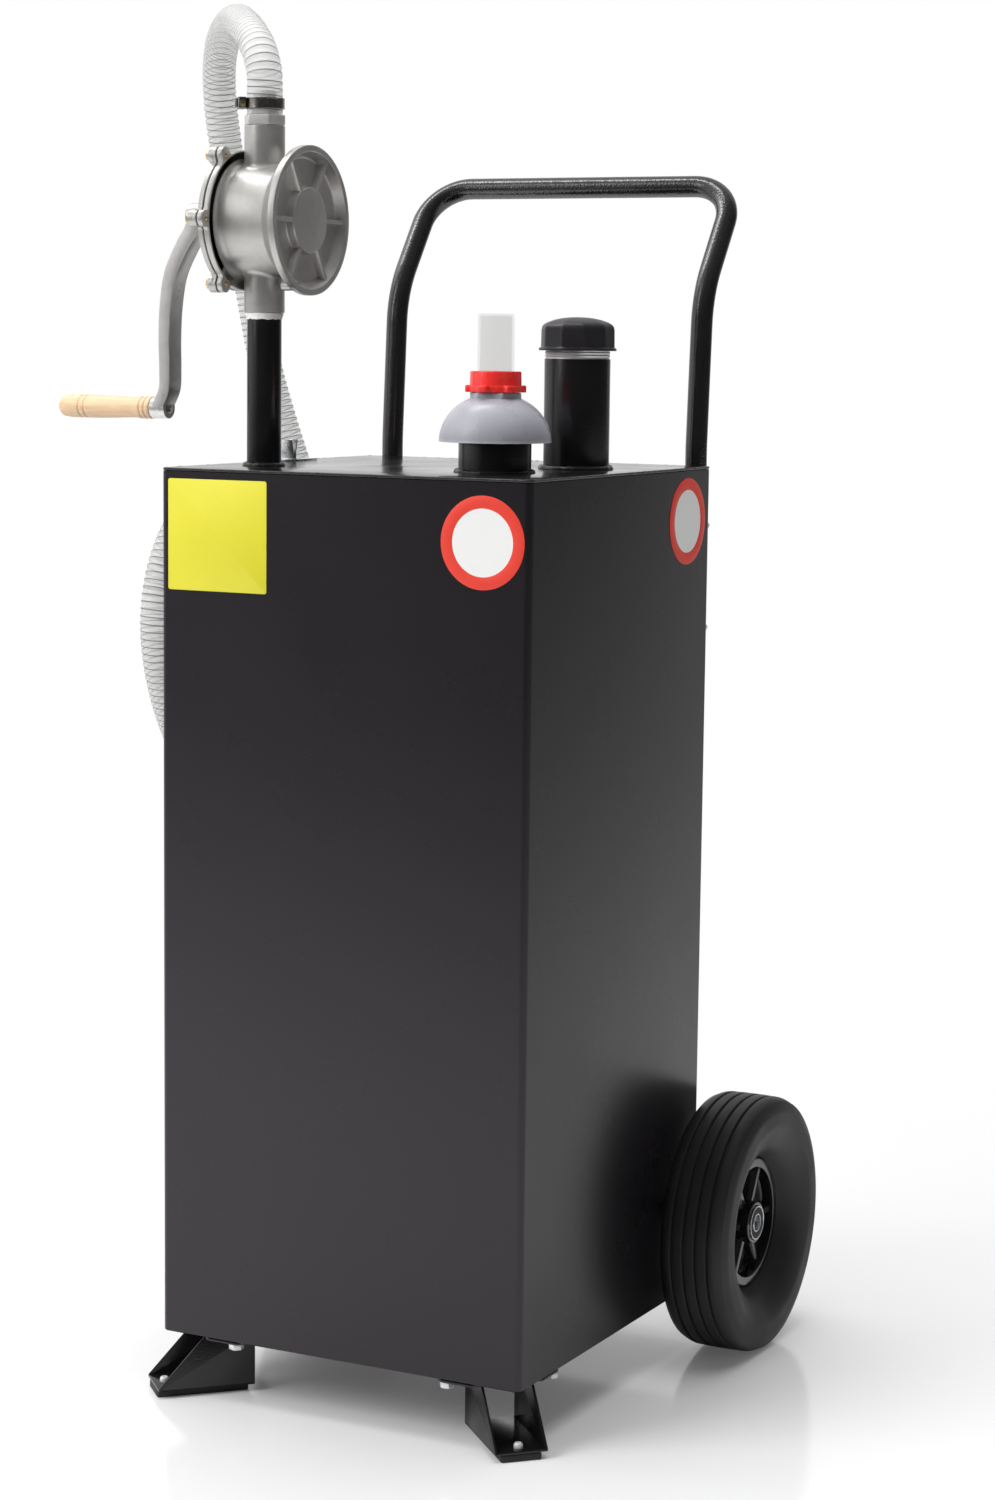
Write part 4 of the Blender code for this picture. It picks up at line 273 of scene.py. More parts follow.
def drawn(form, outline, section, matrix=None, slot=0):
    """An outline drawn through a section of insets and heights."""
    rows = [[(x, y, z) for x, y in (spread(outline, inset) if inset else outline)] for inset, z in section]
    form.add(rows, slot=slot, matrix=matrix)


def ring_of(form, outline, bore, section, matrix):
    """A flat ring between an outline and a round bore, with rounded edges."""
    rows = [[(x, y, z) for x, y in spread(outline, inset)] for inset, z in section]
    first, last = (circle(bore, len(outline), section[end][1]) for end in (0, -1))
    form.add([first] + rows + [last], matrix=matrix, closed=True)


def rectangle(width, depth, radius, steps=4):
    """Outline of a rectangle with round corners."""
    points = []
    for quarter, (sx, sy) in enumerate(((1, 1), (-1, 1), (-1, -1), (1, -1))):
        for i in range(steps + 1):
            t = math.pi / 2 * (quarter + i / steps)
            points.append((sx * (width / 2 - radius) + radius * math.cos(t),
                           sy * (depth / 2 - radius) + radius * math.sin(t)))
    return points


def polar(sides, radius_at):
    """Outline whose radius is a function of its angle."""
    turns = [2 * math.pi * i / sides for i in range(sides)]
    return [(radius_at(t) * math.cos(t), radius_at(t) * math.sin(t)) for t in turns]


def from_middle(turn, count):
    """The angle from the middle of the nearest of count equal parts of a turn."""
    return (turn + math.pi / count) % (2 * math.pi / count) - math.pi / count


def hexagon(radius, start=0.0, soft=0.06, steps=3):
    """Outline of a hexagon with slightly soft corners."""
    turns = [start + math.pi * i / 3 for i in range(6)]
    return softened([(radius * math.cos(t), radius * math.sin(t)) for t in turns], radius * soft, steps)


def mirrored(half):
    """A half section, from its foot to its middle, with its mirror image."""
    return half + [(-y, z) for y, z in half[-2::-1]]


def heading(points, i):
    """The direction of a row of points at one of them."""
    return (points[min(i + 1, len(points) - 1)] - points[max(i - 1, 0)]).normalized()


def strip(line, thick, width):
    """Rows of a bent strip along a line, as cross sections."""
    rows = []
    for i, point in enumerate(line):
        ahead = heading(line, i)
        shape = rectangle(thick, width, thick * 0.28, 2)
        rows.append([(point.x - ahead.y * x, point.y + ahead.x * x, y) for x, y in shape])
    return rows


def smooth_points(points, steps):
    """Points of a smooth curve through the given points."""
    points = [Vector(p) for p in points]
    ends = [2 * points[0] - points[1]] + points + [2 * points[-1] - points[-2]]
    curve = []
    for a, b, c, d in zip(ends, ends[1:], ends[2:], ends[3:]):
        for t in (i / steps for i in range(steps)):
            curve.append(((2 * b) + (c - a) * t + (2 * a - 5 * b + 4 * c - d) * t * t
                          + (3 * b - a - 3 * c + d) * t * t * t) / 2)
    return curve + [points[-1]]


def distances(curve):
    """Each point's distance along a curve."""
    lengths = [0.0]
    for a, b in zip(curve, curve[1:]):
        lengths.append(lengths[-1] + (b - a).length)
    return lengths


def even_points(curve, step):
    """The same curve as evenly spaced points."""
    lengths = distances(curve)
    count = max(1, round(lengths[-1] / step))
    spaced = []
    j = 0
    for i in range(count + 1):
        want = lengths[-1] * i / count
        while j < len(curve) - 2 and lengths[j + 1] < want:
            j += 1
        share = (want - lengths[j]) / (lengths[j + 1] - lengths[j])
        spaced.append(curve[j].lerp(curve[j + 1], min(share, 1)))
    return spaced


def rounded_path(corners, radii, steps):
    """A path through corner points, each inner corner turned into an arc."""
    corners = [Vector(c) for c in corners]
    path = [corners[0]]
    for before, here, after, radius in zip(corners, corners[1:], corners[2:], radii):
        to_before = (before - here).normalized()
        to_after = (after - here).normalized()
        half = to_before.angle(to_after) / 2
        centre = here + (to_before + to_after).normalized() * radius / math.sin(half)
        start = here + to_before * radius / math.tan(half) - centre
        end = here + to_after * radius / math.tan(half) - centre
        axis = start.cross(end).normalized()
        sweep_angle = start.angle(end)
        for i in range(steps + 1):
            path.append(centre + Matrix.Rotation(sweep_angle * i / steps, 3, axis) @ start)
    return path + [corners[-1]]


def rings(path, radius, sides):
    """Rows of points round a path. Radius is a number or a function of the point's number and angle."""
    rows, side = [], None
    for i, point in enumerate(path):
        ahead = heading(path, i)
        side = side or ahead.orthogonal().normalized()
        side = (side - ahead * side.dot(ahead)).normalized()
        other = ahead.cross(side)
        row = []
        for turn in (2 * math.pi * k / sides for k in range(sides)):
            r = radius(i, turn) if callable(radius) else radius
            row.append(point + (side * math.cos(turn) + other * math.sin(turn)) * r)
        rows.append(row)
    return rows


def cut(obj, *cutters):
    """Subtracts closed forms from an object, and applies it."""
    for i, cutter in enumerate(cutters):
        tool = cutter.make(f"{obj.name}_cutter_{i + 1}", None, [], body=None)
        change = obj.modifiers.new("Cut", "BOOLEAN")
        change.operation, change.solver, change.object = "DIFFERENCE", "EXACT", tool
        bpy.context.view_layer.update()
        graph = bpy.context.evaluated_depsgraph_get()
        mesh = bpy.data.meshes.new_from_object(obj.evaluated_get(graph))
        obj.modifiers.clear()
        obj.data = mesh
        bpy.data.objects.remove(tool, do_unlink=True)
    shade(obj.data, 32)


def placed(x, y, z, turn=None):
    """A matrix that puts a form there, after an optional turn."""
    matrix = Matrix.Translation((x, y, z))
    return matrix @ turn if turn else matrix


def turned(angle, axis):
    """A turn about an axis, in radians."""
    return Matrix.Rotation(angle, 4, axis)


ALONG_X = turned(math.pi / 2, "Y")
ALONG_Y = turned(math.pi / 2, "X")
QUARTER = turned(math.pi / 2, "Z")
ON_SIDE = QUARTER @ ALONG_Y
AT_RISER = placed(PUMP_X, PUMP_Y, 0)
AT_PUMP = placed(PUMP_X, PUMP_Y, PUMP_Z, ALONG_X)
AT_SHAFT = placed(PUMP_X, PUMP_Y, SHAFT_Z, ALONG_X)
AT_GAUGE = placed(GAUGE_X, GAUGE_Y, 0)


# Materials


def material(name):
    """A new material, its node tree and its shader."""
    mat = bpy.data.materials.new(name)
    mat.use_nodes = True
    return mat, mat.node_tree, mat.node_tree.nodes["Principled BSDF"]


def feed(tree, target, inputs):
    """Gives each named input a value, or a link from another node's output."""
    for name, value in inputs.items():
        if isinstance(value, bpy.types.NodeSocket):
            tree.links.new(value, target.inputs[name])
        else:
            target.inputs[name].default_value = value


def output(tree, kind, inputs=None, result=0, **settings):
    """One output of a new node with these inputs and settings."""
    made = tree.nodes.new("ShaderNode" + kind)
    for name, value in settings.items():
        setattr(made, name, value)
    feed(tree, made, inputs or {})
    return made.outputs[result]


def ramp(tree, factor, stops):
    """The output of a colour ramp. A stop is a place and a grey level or colour."""
    made = tree.nodes.new("ShaderNodeValToRGB")
    elements = made.color_ramp.elements
    while len(elements) < len(stops):
        elements.new(0.5)
    for element, (place, colour) in zip(elements, stops):
        element.position = place
        element.color = (*(colour if isinstance(colour, tuple) else (colour,) * 3), 1)
    feed(tree, made, {"Fac": factor})
    return made.outputs["Color"]


def finish(name, slot, colour, roughness, metallic=0.0, mottle=(40, 0.06), grain=(700, 0.10, 0.0003),
           wobble=0.05, stretch=(1, 1, 1), **sockets):
    """A procedural finish: mottled colour, uneven roughness and a fine bump."""
    mat, tree, shader = material(name)
    where = output(tree, "TexCoord", result="Object")
    where = output(tree, "Mapping", {"Vector": where, "Scale": stretch})

    def cloud(scale, detail):
        """A noise texture in metres."""
        return output(tree, "TexNoise", {"Vector": where, "Scale": scale, "Detail": detail}, "Fac")

    wide, low, high = cloud(mottle[0], 4), 0.3, 0.7
    stops = [(place, tuple(min(c * share, 1) for c in colour))
             for place, share in ((low, 1 - mottle[1]), (high, 1 + mottle[1]))]
    rough = {"Value": wide, "From Min": low, "From Max": high,
             "To Min": max(roughness - wobble, 0.02), "To Max": roughness + wobble}
    bump = {"Strength": grain[1], "Distance": grain[2], "Height": cloud(grain[0], 2)}
    feed(tree, shader, {"Metallic": metallic, "Base Color": ramp(tree, wide, stops),
                        "Roughness": output(tree, "MapRange", rough, "Result"),
                        "Normal": output(tree, "Bump", bump, "Normal")})
    feed(tree, shader, {key.replace("_", " "): value for key, value in sockets.items()})
    return mat


def hose_finish():
    """Clear hose with a white spiral: its lines come from the length along it."""
    mat, tree, shader = material("clear_ribbed_hose")
    split = tree.nodes.new("ShaderNodeSeparateXYZ")
    feed(tree, split, {"Vector": output(tree, "UVMap", result="UV", uv_map="along")})
    turns = output(tree, "Math", {0: split.outputs["X"], 1: split.outputs["Y"]}, operation="ADD")
    part = output(tree, "Math", {0: turns}, operation="FRACT")
    lines = ((0.0, (0.64, 0.64, 0.63)), (0.36, (0.60, 0.60, 0.59)), (0.42, (0.13, 0.13, 0.125)),
             (0.52, (0.17, 0.17, 0.165)), (0.59, (0.68, 0.68, 0.67)), (1.0, (0.64, 0.64, 0.63)))
    veil = ((0.0, 0.42), (0.36, 0.42), (0.42, 0.85), (0.52, 0.85), (0.59, 0.46))
    feed(tree, shader, {"Roughness": 0.24, "Coat Weight": 0.15, "Coat Roughness": 0.12,
                        "Base Color": ramp(tree, part, lines), "Alpha": ramp(tree, part, veil)})
    return mat


COAT, ALLOY, STEEL = "black_powder_coat", "cast_aluminium", "zinc_plated_steel"
FINE, SMOOTH = (1200, 0.10, 0.0002), (500, 0.05, 0.0002)
coat_body = finish("powder_coat_tank", COAT, (0.0082, 0.0070, 0.0086), 0.28, mottle=(8, 0.05), wobble=0.02,
                   grain=(900, 0.12, 0.0002), Specular_Tint=(1.0, 0.94, 0.99, 1.0))
coat_top = finish("powder_coat_top", COAT, (0.010, 0.0095, 0.0100), 0.17, mottle=(14, 0.05), wobble=0.04,
                  grain=(260, 0.08, 0.0003))
coat_pipe = finish("powder_coat_pipe", COAT, (0.0080, 0.0072, 0.0082), 0.21, mottle=(25, 0.06), wobble=0.04,
                   grain=(420, 0.32, 0.0004))
coat_handle = finish("glossy_powder_coat_handle", COAT, (0.0080, 0.0072, 0.0082), 0.15, mottle=(25, 0.06),
                     grain=(420, 0.45, 0.0005), Specular_IOR_Level=1.0)
weld = finish("coated_weld", COAT, (0.0095, 0.0090, 0.0095), 0.12, mottle=(200, 0.1), wobble=0.08,
              grain=(700, 0.6, 0.0008))
cast = finish("satin_cast_aluminium", ALLOY, (0.50, 0.49, 0.475), 0.36, 0.72, mottle=(120, 0.05),
              grain=(1500, 0.16, 0.0002))
# A lighter, more metallic copy of the cast aluminium, for the crank arm alone: painted light, so that the
# arm's lit front face reads brighter than the body's.
lit_arm_cast = finish("lit_copy_cast_arm", ALLOY, (0.66, 0.645, 0.63), 0.32, 0.80, mottle=(120, 0.05),
                  grain=(1500, 0.16, 0.0002))
zinc = finish("bright_zinc", STEEL, (0.70, 0.72, 0.74), 0.24, 1.0, mottle=(180, 0.06), wobble=0.06,
              grain=FINE)
satin_zinc = finish("satin_zinc", STEEL, (0.62, 0.61, 0.60), 0.34, 0.55, mottle=(160, 0.05), grain=FINE)
# A paler, less metallic copy of the zinc, for the foot bolts alone: painted light, so that bolts in the shade
# under the tank look as bright as lit zinc.
lit_copy_zinc = finish("lit_copy_zinc", STEEL, (0.80, 0.81, 0.83), 0.30, 0.35, mottle=(180, 0.05), grain=FINE)
dark_steel = finish("darkened_band_steel", STEEL, (0.34, 0.32, 0.305), 0.24, 1.0, mottle=(160, 0.08),
                    wobble=0.06, grain=FINE)
brass = finish("brass_bolts", "brass", (0.72, 0.55, 0.30), 0.30, 1.0, mottle=(220, 0.08),
               grain=(1400, 0.1, 0.0002))
black_plastic = finish("black_moulded_plastic", "black_plastic", (0.0150, 0.0135, 0.0160), 0.36,
                       grain=(1100, 0.14, 0.0002))
grey_plastic = finish("grey_moulded_plastic", "grey_plastic", (0.335, 0.335, 0.375), 0.28, mottle=(30, 0.04),
                      grain=(900, 0.08, 0.0002))
red_plastic = finish("red_moulded_plastic", "red_plastic", (0.80, 0.030, 0.026), 0.28, mottle=(50, 0.05),
                     grain=(900, 0.06, 0.0002), Coat_Weight=0.3)
clear_plastic = finish("clear_sight_tube", "clear_plastic", (0.29, 0.285, 0.28), 0.10, mottle=(30, 0.03),
                       wobble=0.04, grain=(300, 0.05, 0.0002), Alpha=0.13, Coat_Weight=0.5)
rubber = finish("black_rubber", "rubber", (0.016, 0.015, 0.016), 0.62, grain=(1300, 0.2, 0.0003))
tyre_rubber = finish("tyre_rubber", "tyre_rubber", (0.0145, 0.0135, 0.0145), 0.52, mottle=(22, 0.10),
                     wobble=0.06, grain=(1000, 0.22, 0.0003))
rim_black = finish("gloss_black_rim", "rim_black", (0.008, 0.008, 0.009), 0.16, grain=(500, 0.08, 0.0002),
                   Coat_Weight=0.4)
tape = finish("white_thread_tape", "thread_tape", (0.86, 0.86, 0.85), 0.45, mottle=(90, 0.06),
              grain=(500, 0.5, 0.0005), stretch=(1, 1, 4))
paper = finish("gasket_fibre", None, (0.42, 0.39, 0.35), 0.80, grain=(1200, 0.3, 0.0003))
carbon = finish("carbon_vane", None, (0.05, 0.05, 0.05), 0.55)
yellow_vinyl = finish("yellow_vinyl", COAT, (0.69, 0.64, 0.040), 0.34, mottle=(18, 0.03), grain=SMOOTH)
red_vinyl = finish("red_vinyl", COAT, (0.75, 0.055, 0.035), 0.34, mottle=(18, 0.04), grain=SMOOTH)
white_vinyl = finish("white_vinyl", COAT, (0.80, 0.80, 0.79), 0.34, mottle=(18, 0.02), grain=SMOOTH)
wood = finish("turned_wood", "wood", (0.71, 0.50, 0.315), 0.40, mottle=(220, 0.13), grain=(900, 0.30, 0.0003),
              stretch=(0.10, 1, 1), wobble=0.06)
hose_plastic = hose_finish()


# Camera

def camera():
    """The photograph's own camera."""
    data = bpy.data.cameras.new("camera")
    data.sensor_fit = "VERTICAL"
    data.sensor_height, data.lens = SENSOR, LENS
    data.clip_start, data.clip_end = 0.05, 60
    obj = bpy.data.objects.new("camera", data)
    level = math.cos(PITCH)
    ahead = Vector((-math.sin(AZIMUTH) * level, math.cos(AZIMUTH) * level, -math.sin(PITCH)))
    right = Vector((math.cos(AZIMUTH), math.sin(AZIMUTH), 0))
    up = right.cross(ahead)
    across = math.cos(ROLL) * right + math.sin(ROLL) * up
    above = -math.sin(ROLL) * right + math.cos(ROLL) * up
    rows = [(across[i], above[i], -ahead[i], CAMERA_AT[i]) for i in range(3)]
    obj.matrix_world = Matrix(rows + [(0, 0, 0, 1)])
    bpy.context.scene.collection.objects.link(obj)
    bpy.context.scene.camera = obj


# Hose and its fittings

def band_clamp(name, node, end, rise, angle):
    """Worm drive clamp: band with rolled edges, housing, collar and screw."""
    form = Form()
    place = Vector(end) + Vector((0, 0, rise))
    inner, thick, half, rolled = HOSE_RADIUS + 0.7, 1.2, 4.9, 1.2
    waist = inner + thick * 0.8
    band = [(inner, -half), (inner + thick, -half), (waist, rolled - half), (waist, half - rolled),
            (inner + thick, half), (inner, half)]
    lathe(form, band, 72, Matrix.Translation(place), closed=True, soft=0.3, steps=2)
    out = Vector((math.cos(angle), math.sin(angle), 0))
    spot = Matrix.Translation(place + out * (inner + thick + 3.4)) @ turned(angle + math.pi / 2, "Z")
    saddle = rectangle(15, 8.6, 2.2)
    slab(form, saddle, -5.6, 5.6, 0.8, spot)
    slab(form, [(x * 0.62, y * 0.30 - 4.3) for x, y in saddle], -4, 4, 0.4, spot, slot=1)
    screw = [(0, -15.5), (3.4, -15.5), (3.6, -12.5), (4.6, -12.2), (4.6, -10.8), (3, -10.5), (3, 8), (0, 8)]
    lathe(form, screw, 24, spot @ ALONG_X, slot=2, soft=0.4, steps=2)
    slab(form, hexagon(3.7), -15.5, -12.4, 0.4, spot @ ALONG_X, slot=2)
    return form.make(name, node, [dark_steel, black_plastic, brass])


def spout_piece():
    """Bent metal spout, open right through."""
    x, y, z = HOSE_ROUTE[-1]
    radius, wall, sides = 12.3, 1.8, 36
    elbow = Vector((x, y, z - 50))
    mouth = elbow + Vector((0, -math.sin(math.pi / 4), -math.cos(math.pi / 4))) * 52
    path = rounded_path((Vector((x, y, z + 26)), elbow, mouth), (30,), 12)
    form = Form()
    form.add(rings(path, radius, sides) + rings(path, radius - wall, sides)[::-1], closed=True)
    return form.make("steel_spout", "spout", zinc, sharp=50)


def hose_piece():
    """Clear ribbed hose with its spiral, as one tube along its route."""
    step, bend_steps = HOSE_PITCH / 6, 12
    middle = even_points(smooth_points(HOSE_ROUTE, bend_steps)[bend_steps:-bend_steps], step)
    first = even_points([Vector(HOSE_ROUTE[0]), middle[0]], step)
    last = even_points([middle[-1], Vector(HOSE_ROUTE[-1])], step)
    path = first[:-1] + middle + last[1:]
    along = distances(path)

    def rib(i, turn):
        """Radius at a point: shallow spiral ribs, plain under the fittings."""
        fade = min(max((along[i] - 20) / 10, 0), 1) * min(max((along[-1] - along[i] - 28) / 10, 0), 1)
        wave = 0.5 + 0.5 * math.cos(2 * math.pi * (along[i] / HOSE_PITCH + turn / (2 * math.pi)))
        return HOSE_RADIUS - RIB_SINK - RIB_DEPTH * fade * wave
    form = Form()
    tube = rings(path, rib, HOSE_SIDES)
    form.add(tube, uvs=[a / HOSE_PITCH for a in along], caps=(False, False))
    for near, deep in ((0, 14), (-1, -15)):
        around = [(p - path[near]).normalized() for p in tube[near]]
        rows = [[path[at] + out * r for out in around]
                for at, r in ((near, HOSE_RADIUS), (near, HOSE_BORE), (deep, HOSE_BORE))]
        form.add(rows, caps=(False, False), uvs=[0.9, 0.9, 0.9])
    hose = form.make("ribbed_hose", "delivery_hose", hose_plastic, sharp=60)
    return hose, [p * MM + SHIFT for p in even_points(path, 12)]


def nipple_piece():
    """Hexagon nipple with its barbed tail inside the hose."""
    form = Form()
    low = PORT_HIGH + GAP
    high = low + 9.6
    slab(form, hexagon(20.8, math.radians(12)), low, high, 0.9, AT_RISER, steps=3)
    lathe(form, [(15, high - 1), (16.8, high + 0.1), (15, high + 0.2)], 48, AT_RISER, soft=0.2)
    profile = [(9.5, low - 12), (16, low - 12), (16, low + 1), (10.6, high - 1)]
    for i in range(4):
        z = high + 3.5 + 5 * i
        profile += [(10.6, z), (11.8, z + 0.6), (10.6, z + 4.5)]
    lathe(form, profile + [(10.4, high + 23), (9.5, high + 23)], 48, AT_RISER, closed=True)
    form.make("hex_nipple", "hose_nipple", satin_zinc)


# Tank

def hole(radius, reach, matrix, sides=64):
    """A round cutter that reaches as far to both sides."""
    form = Form()
    lathe(form, [(0, -reach), (radius, -reach), (radius, reach), (0, reach)], sides, matrix)
    return form


def tank():
    """Folded shell with rounded corners, a rolled lower edge and two axle lugs."""
    form = Form()
    high = TOP_Z - PLATE - GAP
    section = [(3, TANK_LOW), (1.2, TANK_LOW + 0.4), (0.3, TANK_LOW + 1.2), (0, TANK_LOW + 3),
               (0, high), (SHEET, high), (SHEET, TANK_LOW + SHEET)]
    drawn(form, rectangle(WIDTH, DEPTH, CORNER, 8), section)
    root, foot_half = WHEEL_Y - DEPTH / 2 + SHEET / 2, LUG_RADIUS * 1.4
    turns = [math.pi * (i / 16 - 0.5) for i in range(17)]
    eye = [(LUG_RADIUS * math.cos(t), LUG_RADIUS * math.sin(t)) for t in turns]
    shape = [(-root, -foot_half)] + eye + [(-root, foot_half)]
    places = [(side * LUG_X, WHEEL_Y, TYRE_RADIUS) for side in (-1, 1)]
    for place in places:
        slab(form, shape, -LUG_THICK / 2, LUG_THICK / 2, 0.6, placed(*place, ON_SIDE))
    obj = form.make("folded_shell", "tank_shell", coat_body)
    cut(obj, *(hole(AXLE_RADIUS + GAP, LUG_THICK, placed(*place, ALONG_X), 32) for place in places))


PIPES = ((PUMP_X, PUMP_Y, RISER_RADIUS, 3.6, 11.0), (GAUGE_X, GAUGE_Y, NECK_RADIUS, 3.0, 23.0),
         (FILL_X, FILL_Y, FILL_RADIUS, 3.6, 37.0))


def top_plate():
    """Welded top plate with its three holes."""
    form = Form()
    slab(form, rectangle(WIDTH, DEPTH, CORNER, 8), TOP_Z - PLATE, TOP_Z, 0.9, steps=3)
    obj = form.make("top_sheet", "tank_top", coat_top)
    cut(obj, *(hole(radius + GAP, 10, placed(x, y, TOP_Z)) for x, y, radius, _, _ in PIPES))


def bead(form, path, size, seed):
    """An uneven weld bead along a closed path."""
    def lump(i, turn):
        """Radius of the bead, with ripples and blobs."""
        rough = noise.noise(path[i] * 0.42 + Vector((seed + math.cos(turn) * 0.8, math.sin(turn) * 0.8, 0)))
        blob = noise.noise(path[i] * 0.11 + Vector((0, seed, 0)))
        return size * (1 + 0.28 * rough + 0.30 * blob)
    form.add(rings(path, lump, 10), closed=True)


def welds():
    """Weld beads along the top plate's edges and round the three pipes."""
    form = Form()
    outline = rectangle(WIDTH - 1.6, DEPTH - 1.6, CORNER, 6)
    edge = even_points([Vector((x, y, TOP_Z - 1.4)) for x, y in outline + outline[:1]], 1.6)
    bead(form, edge[:-1], 1.35, 3.0)
    for x, y, radius, size, seed in PIPES:
        ring = circle(radius + size * 0.25, round(2 * math.pi * radius / 1.1), TOP_Z + size * 0.10)
        bead(form, [Vector(p) + Vector((x, y, 0)) for p in ring], size, seed)
    form.make("weld_beads", None, weld, sharp=70)


def pipe(name, node, x, y, radius, bore, high, thread=None):
    """A pipe with chamfered ends, and rolled thread rings from a height up."""
    form = Form()
    profile = [(bore, PIPE_LOW), (radius, PIPE_LOW)]
    if thread:
        root, crest, rise, soft = radius - THREAD_DEPTH, radius - THREAD_DEPTH * 0.2, 0.3, 0.3
        profile += [(radius, thread), (root, thread + rise)]
        z = thread + rise + THREAD_PITCH
        while z < high - THREAD_PITCH:
            profile += [(root, z - THREAD_PITCH / 2, soft), (crest, z, soft)]
            z += THREAD_PITCH
        profile += [(root, z - THREAD_PITCH / 2), (root, high)]
    else:
        profile.append((radius, high))
    lathe(form, profile + [(bore, high)], 96, placed(x, y, 0), closed=True, soft=0.5, steps=2)
    if thread:
        form.slots = [int(all(form.points[i].z > thread + TINY for i in face)) for face in form.faces]
    form.make(name, node, [coat_pipe, satin_zinc])


def stickers():
    """Bare yellow plate, and two round stickers with a red ring."""
    front, right = placed(0, -DEPTH / 2, 0, ALONG_Y), placed(WIDTH / 2, 0, 0, ON_SIDE)
    form = Form()
    slab(form, [(x - 134.55, y + 849) for x, y in rectangle(109.5, 106, 2.2)], 0, 0.3, 0.1, front)
    form.make("yellow_sticker", None, yellow_vinyl)
    for name, spot in (("front_round_sticker", front @ placed(149.2, 853.5, 0)),
                       ("side_round_sticker", right @ placed(145, 859, 0))):
        form = Form()
        lathe(form, [(0, 0), (31.5, 0), (31.5, 0.3), (0, 0.3)], 96, spot)
        ring = [(31.2, 0), (43, 0), (43, 0.35), (31.2, 0.35)]
        lathe(form, ring, 96, spot, closed=True, slot=1, soft=0.1, steps=2)
        form.make(name, None, [white_vinyl, red_vinyl])


# Filler cap and level gauge

def fill_cap():
    """Ten sided cap with soft corners, a flange and a shallow dome."""
    def flats(radius, soft):
        """Radius of a polygon, blended towards a circle by soft."""
        def at(turn):
            """The radius in that direction."""
            flat = math.cos(math.pi / CAP_SIDES) / math.cos(from_middle(turn, CAP_SIDES))
            return radius * (flat * (1 - soft) + soft * min(flat, 0.985))
        return at
    thread, low, count = FILL_RADIUS - 0.3, CAP_LOW, 120
    rows = []
    for radius, z, soft in (
            (thread, CAP_ROOF, 1), (thread, low, 1), (37.5, low, 1), (37.9, low + 1, 1), (37.6, low + 2.2, 1),
            (36.4, low + 3.6, 0.6), (36.2, low + 6, 0.25), (36, 1046, 0.25), (35.5, 1049, 0.35),
            (34, 1051.4, 0.5), (30, 1053.8, 0.7), (23, 1056.2, 0.9), (15, 1057.8, 1), (7, 1058.6, 1)):
        rows.append(circle(radius, count, z) if soft == 1
                    else [(x, y, z) for x, y in polar(count, flats(radius, soft))])
    form = Form()
    form.add(rows + [[(0, 0, 1058.8)]], matrix=placed(FILL_X, FILL_Y, 0))
    form.make("moulded_cap", "fill_cap", black_plastic, body="cap", sharp=40)


def gauge():
    """Domed base with its hexagon, lugged nut and clear tube."""
    dome_z, rise, radius, wall, hex_z = 941.6, 45, 53, 2.5, 981.05
    stem, top, low = 6.8, hex_z + 13.5, dome_z - 10
    plug, seat_radius, seat = NECK_BORE - GAP, NECK_RADIUS + GAP, NECK_TOP + GAP
    start, stop = math.asin(24 / radius), math.asin(seat_radius / (radius - wall))
    profile = [(stem, top), (20, top), (20, hex_z)]
    for a in (start + (math.pi / 2 - start) * i / 20 for i in range(21)):
        profile.append((radius * math.sin(a), dome_z + rise * math.cos(a)))
    profile += [(radius + 0.4, dome_z - 0.8), (radius - wall + 0.4, dome_z - 1)]
    for a in (math.pi / 2 - (math.pi / 2 - stop) * i / 11 for i in range(12)):
        profile.append(((radius - wall) * math.sin(a), dome_z + (rise - wall) * math.cos(a)))
    profile += [(seat_radius, seat), (plug, seat), (plug, low), (stem, low)]
    form = Form()
    lathe(form, profile, 112, AT_GAUGE, closed=True)
    slab(form, hexagon(25.5, math.radians(12), 0.08), hex_z - 4, hex_z + 6, 0.7, AT_GAUGE, steps=3)
    form.make("gauge_dome", "gauge_base", grey_plastic)

    nut, nut_radius, lugs = 987.35, 24.5, 6
    nut_top, ledge = nut + 19.7, 997.2
    form = Form()
    grip = [(20.6, nut), (nut_radius + 0.2, nut), (nut_radius, nut + 6), (nut_radius - 0.4, nut_top, 1),
            (17.9, nut_top, 0.6), (17.9, ledge), (20.6, ledge)]
    lathe(form, grip, 96, AT_GAUGE, closed=True, soft=0.4)

    def lug(turn):
        """Radius of the lower rim, with six rounded lugs."""
        part = from_middle(turn - math.radians(30), lugs)
        return nut_radius + 0.4 + 4 / (1 + math.exp((abs(part) - 0.21) * 46))
    section = ((0.6, 0), (0.1, 0.4), (0, 1), (0, 5.2), (0.2, 6), (0.8, 6.6))
    ring_of(form, polar(240, lug), 23, [(inset, nut + z) for inset, z in section], AT_GAUGE)
    form.make("red_lug_nut", "gauge_nut", red_plastic, sharp=40)

    tube, low = 17.6, 994.85
    high = low + 65.8
    form = Form()
    profile = [(0, high), (tube - 0.4, high, 1.5), (tube, low + 2), (20.3, low + 2), (20.3, low),
               (tube - 2.4, low), (tube - 2.6, high - 2, 1), (0, high - 2)]
    lathe(form, profile, 80, AT_GAUGE, soft=0.2, steps=4)
    form.make("sight_glass", "gauge_tube", clear_plastic)


# Rotary pump

def ear_outline():
    """Outline of the flange: a circle with six ears and a small fillet by each."""
    def at(turn):
        """The outermost of the circle, the nearest ear and its fillet."""
        part = from_middle(turn, EARS)
        reach = FLANGE_RADIUS + EAR_ROOT_RISE * math.exp(-((abs(part) - EAR_ROOT) / EAR_ROOT_WIDE) ** 2)
        across = EAR_CIRCLE * math.sin(part)
        if abs(across) < EAR_RADIUS:
            reach = max(reach, EAR_CIRCLE * math.cos(part) + math.sqrt(EAR_RADIUS ** 2 - across ** 2))
        return reach
    return polar(360, at)


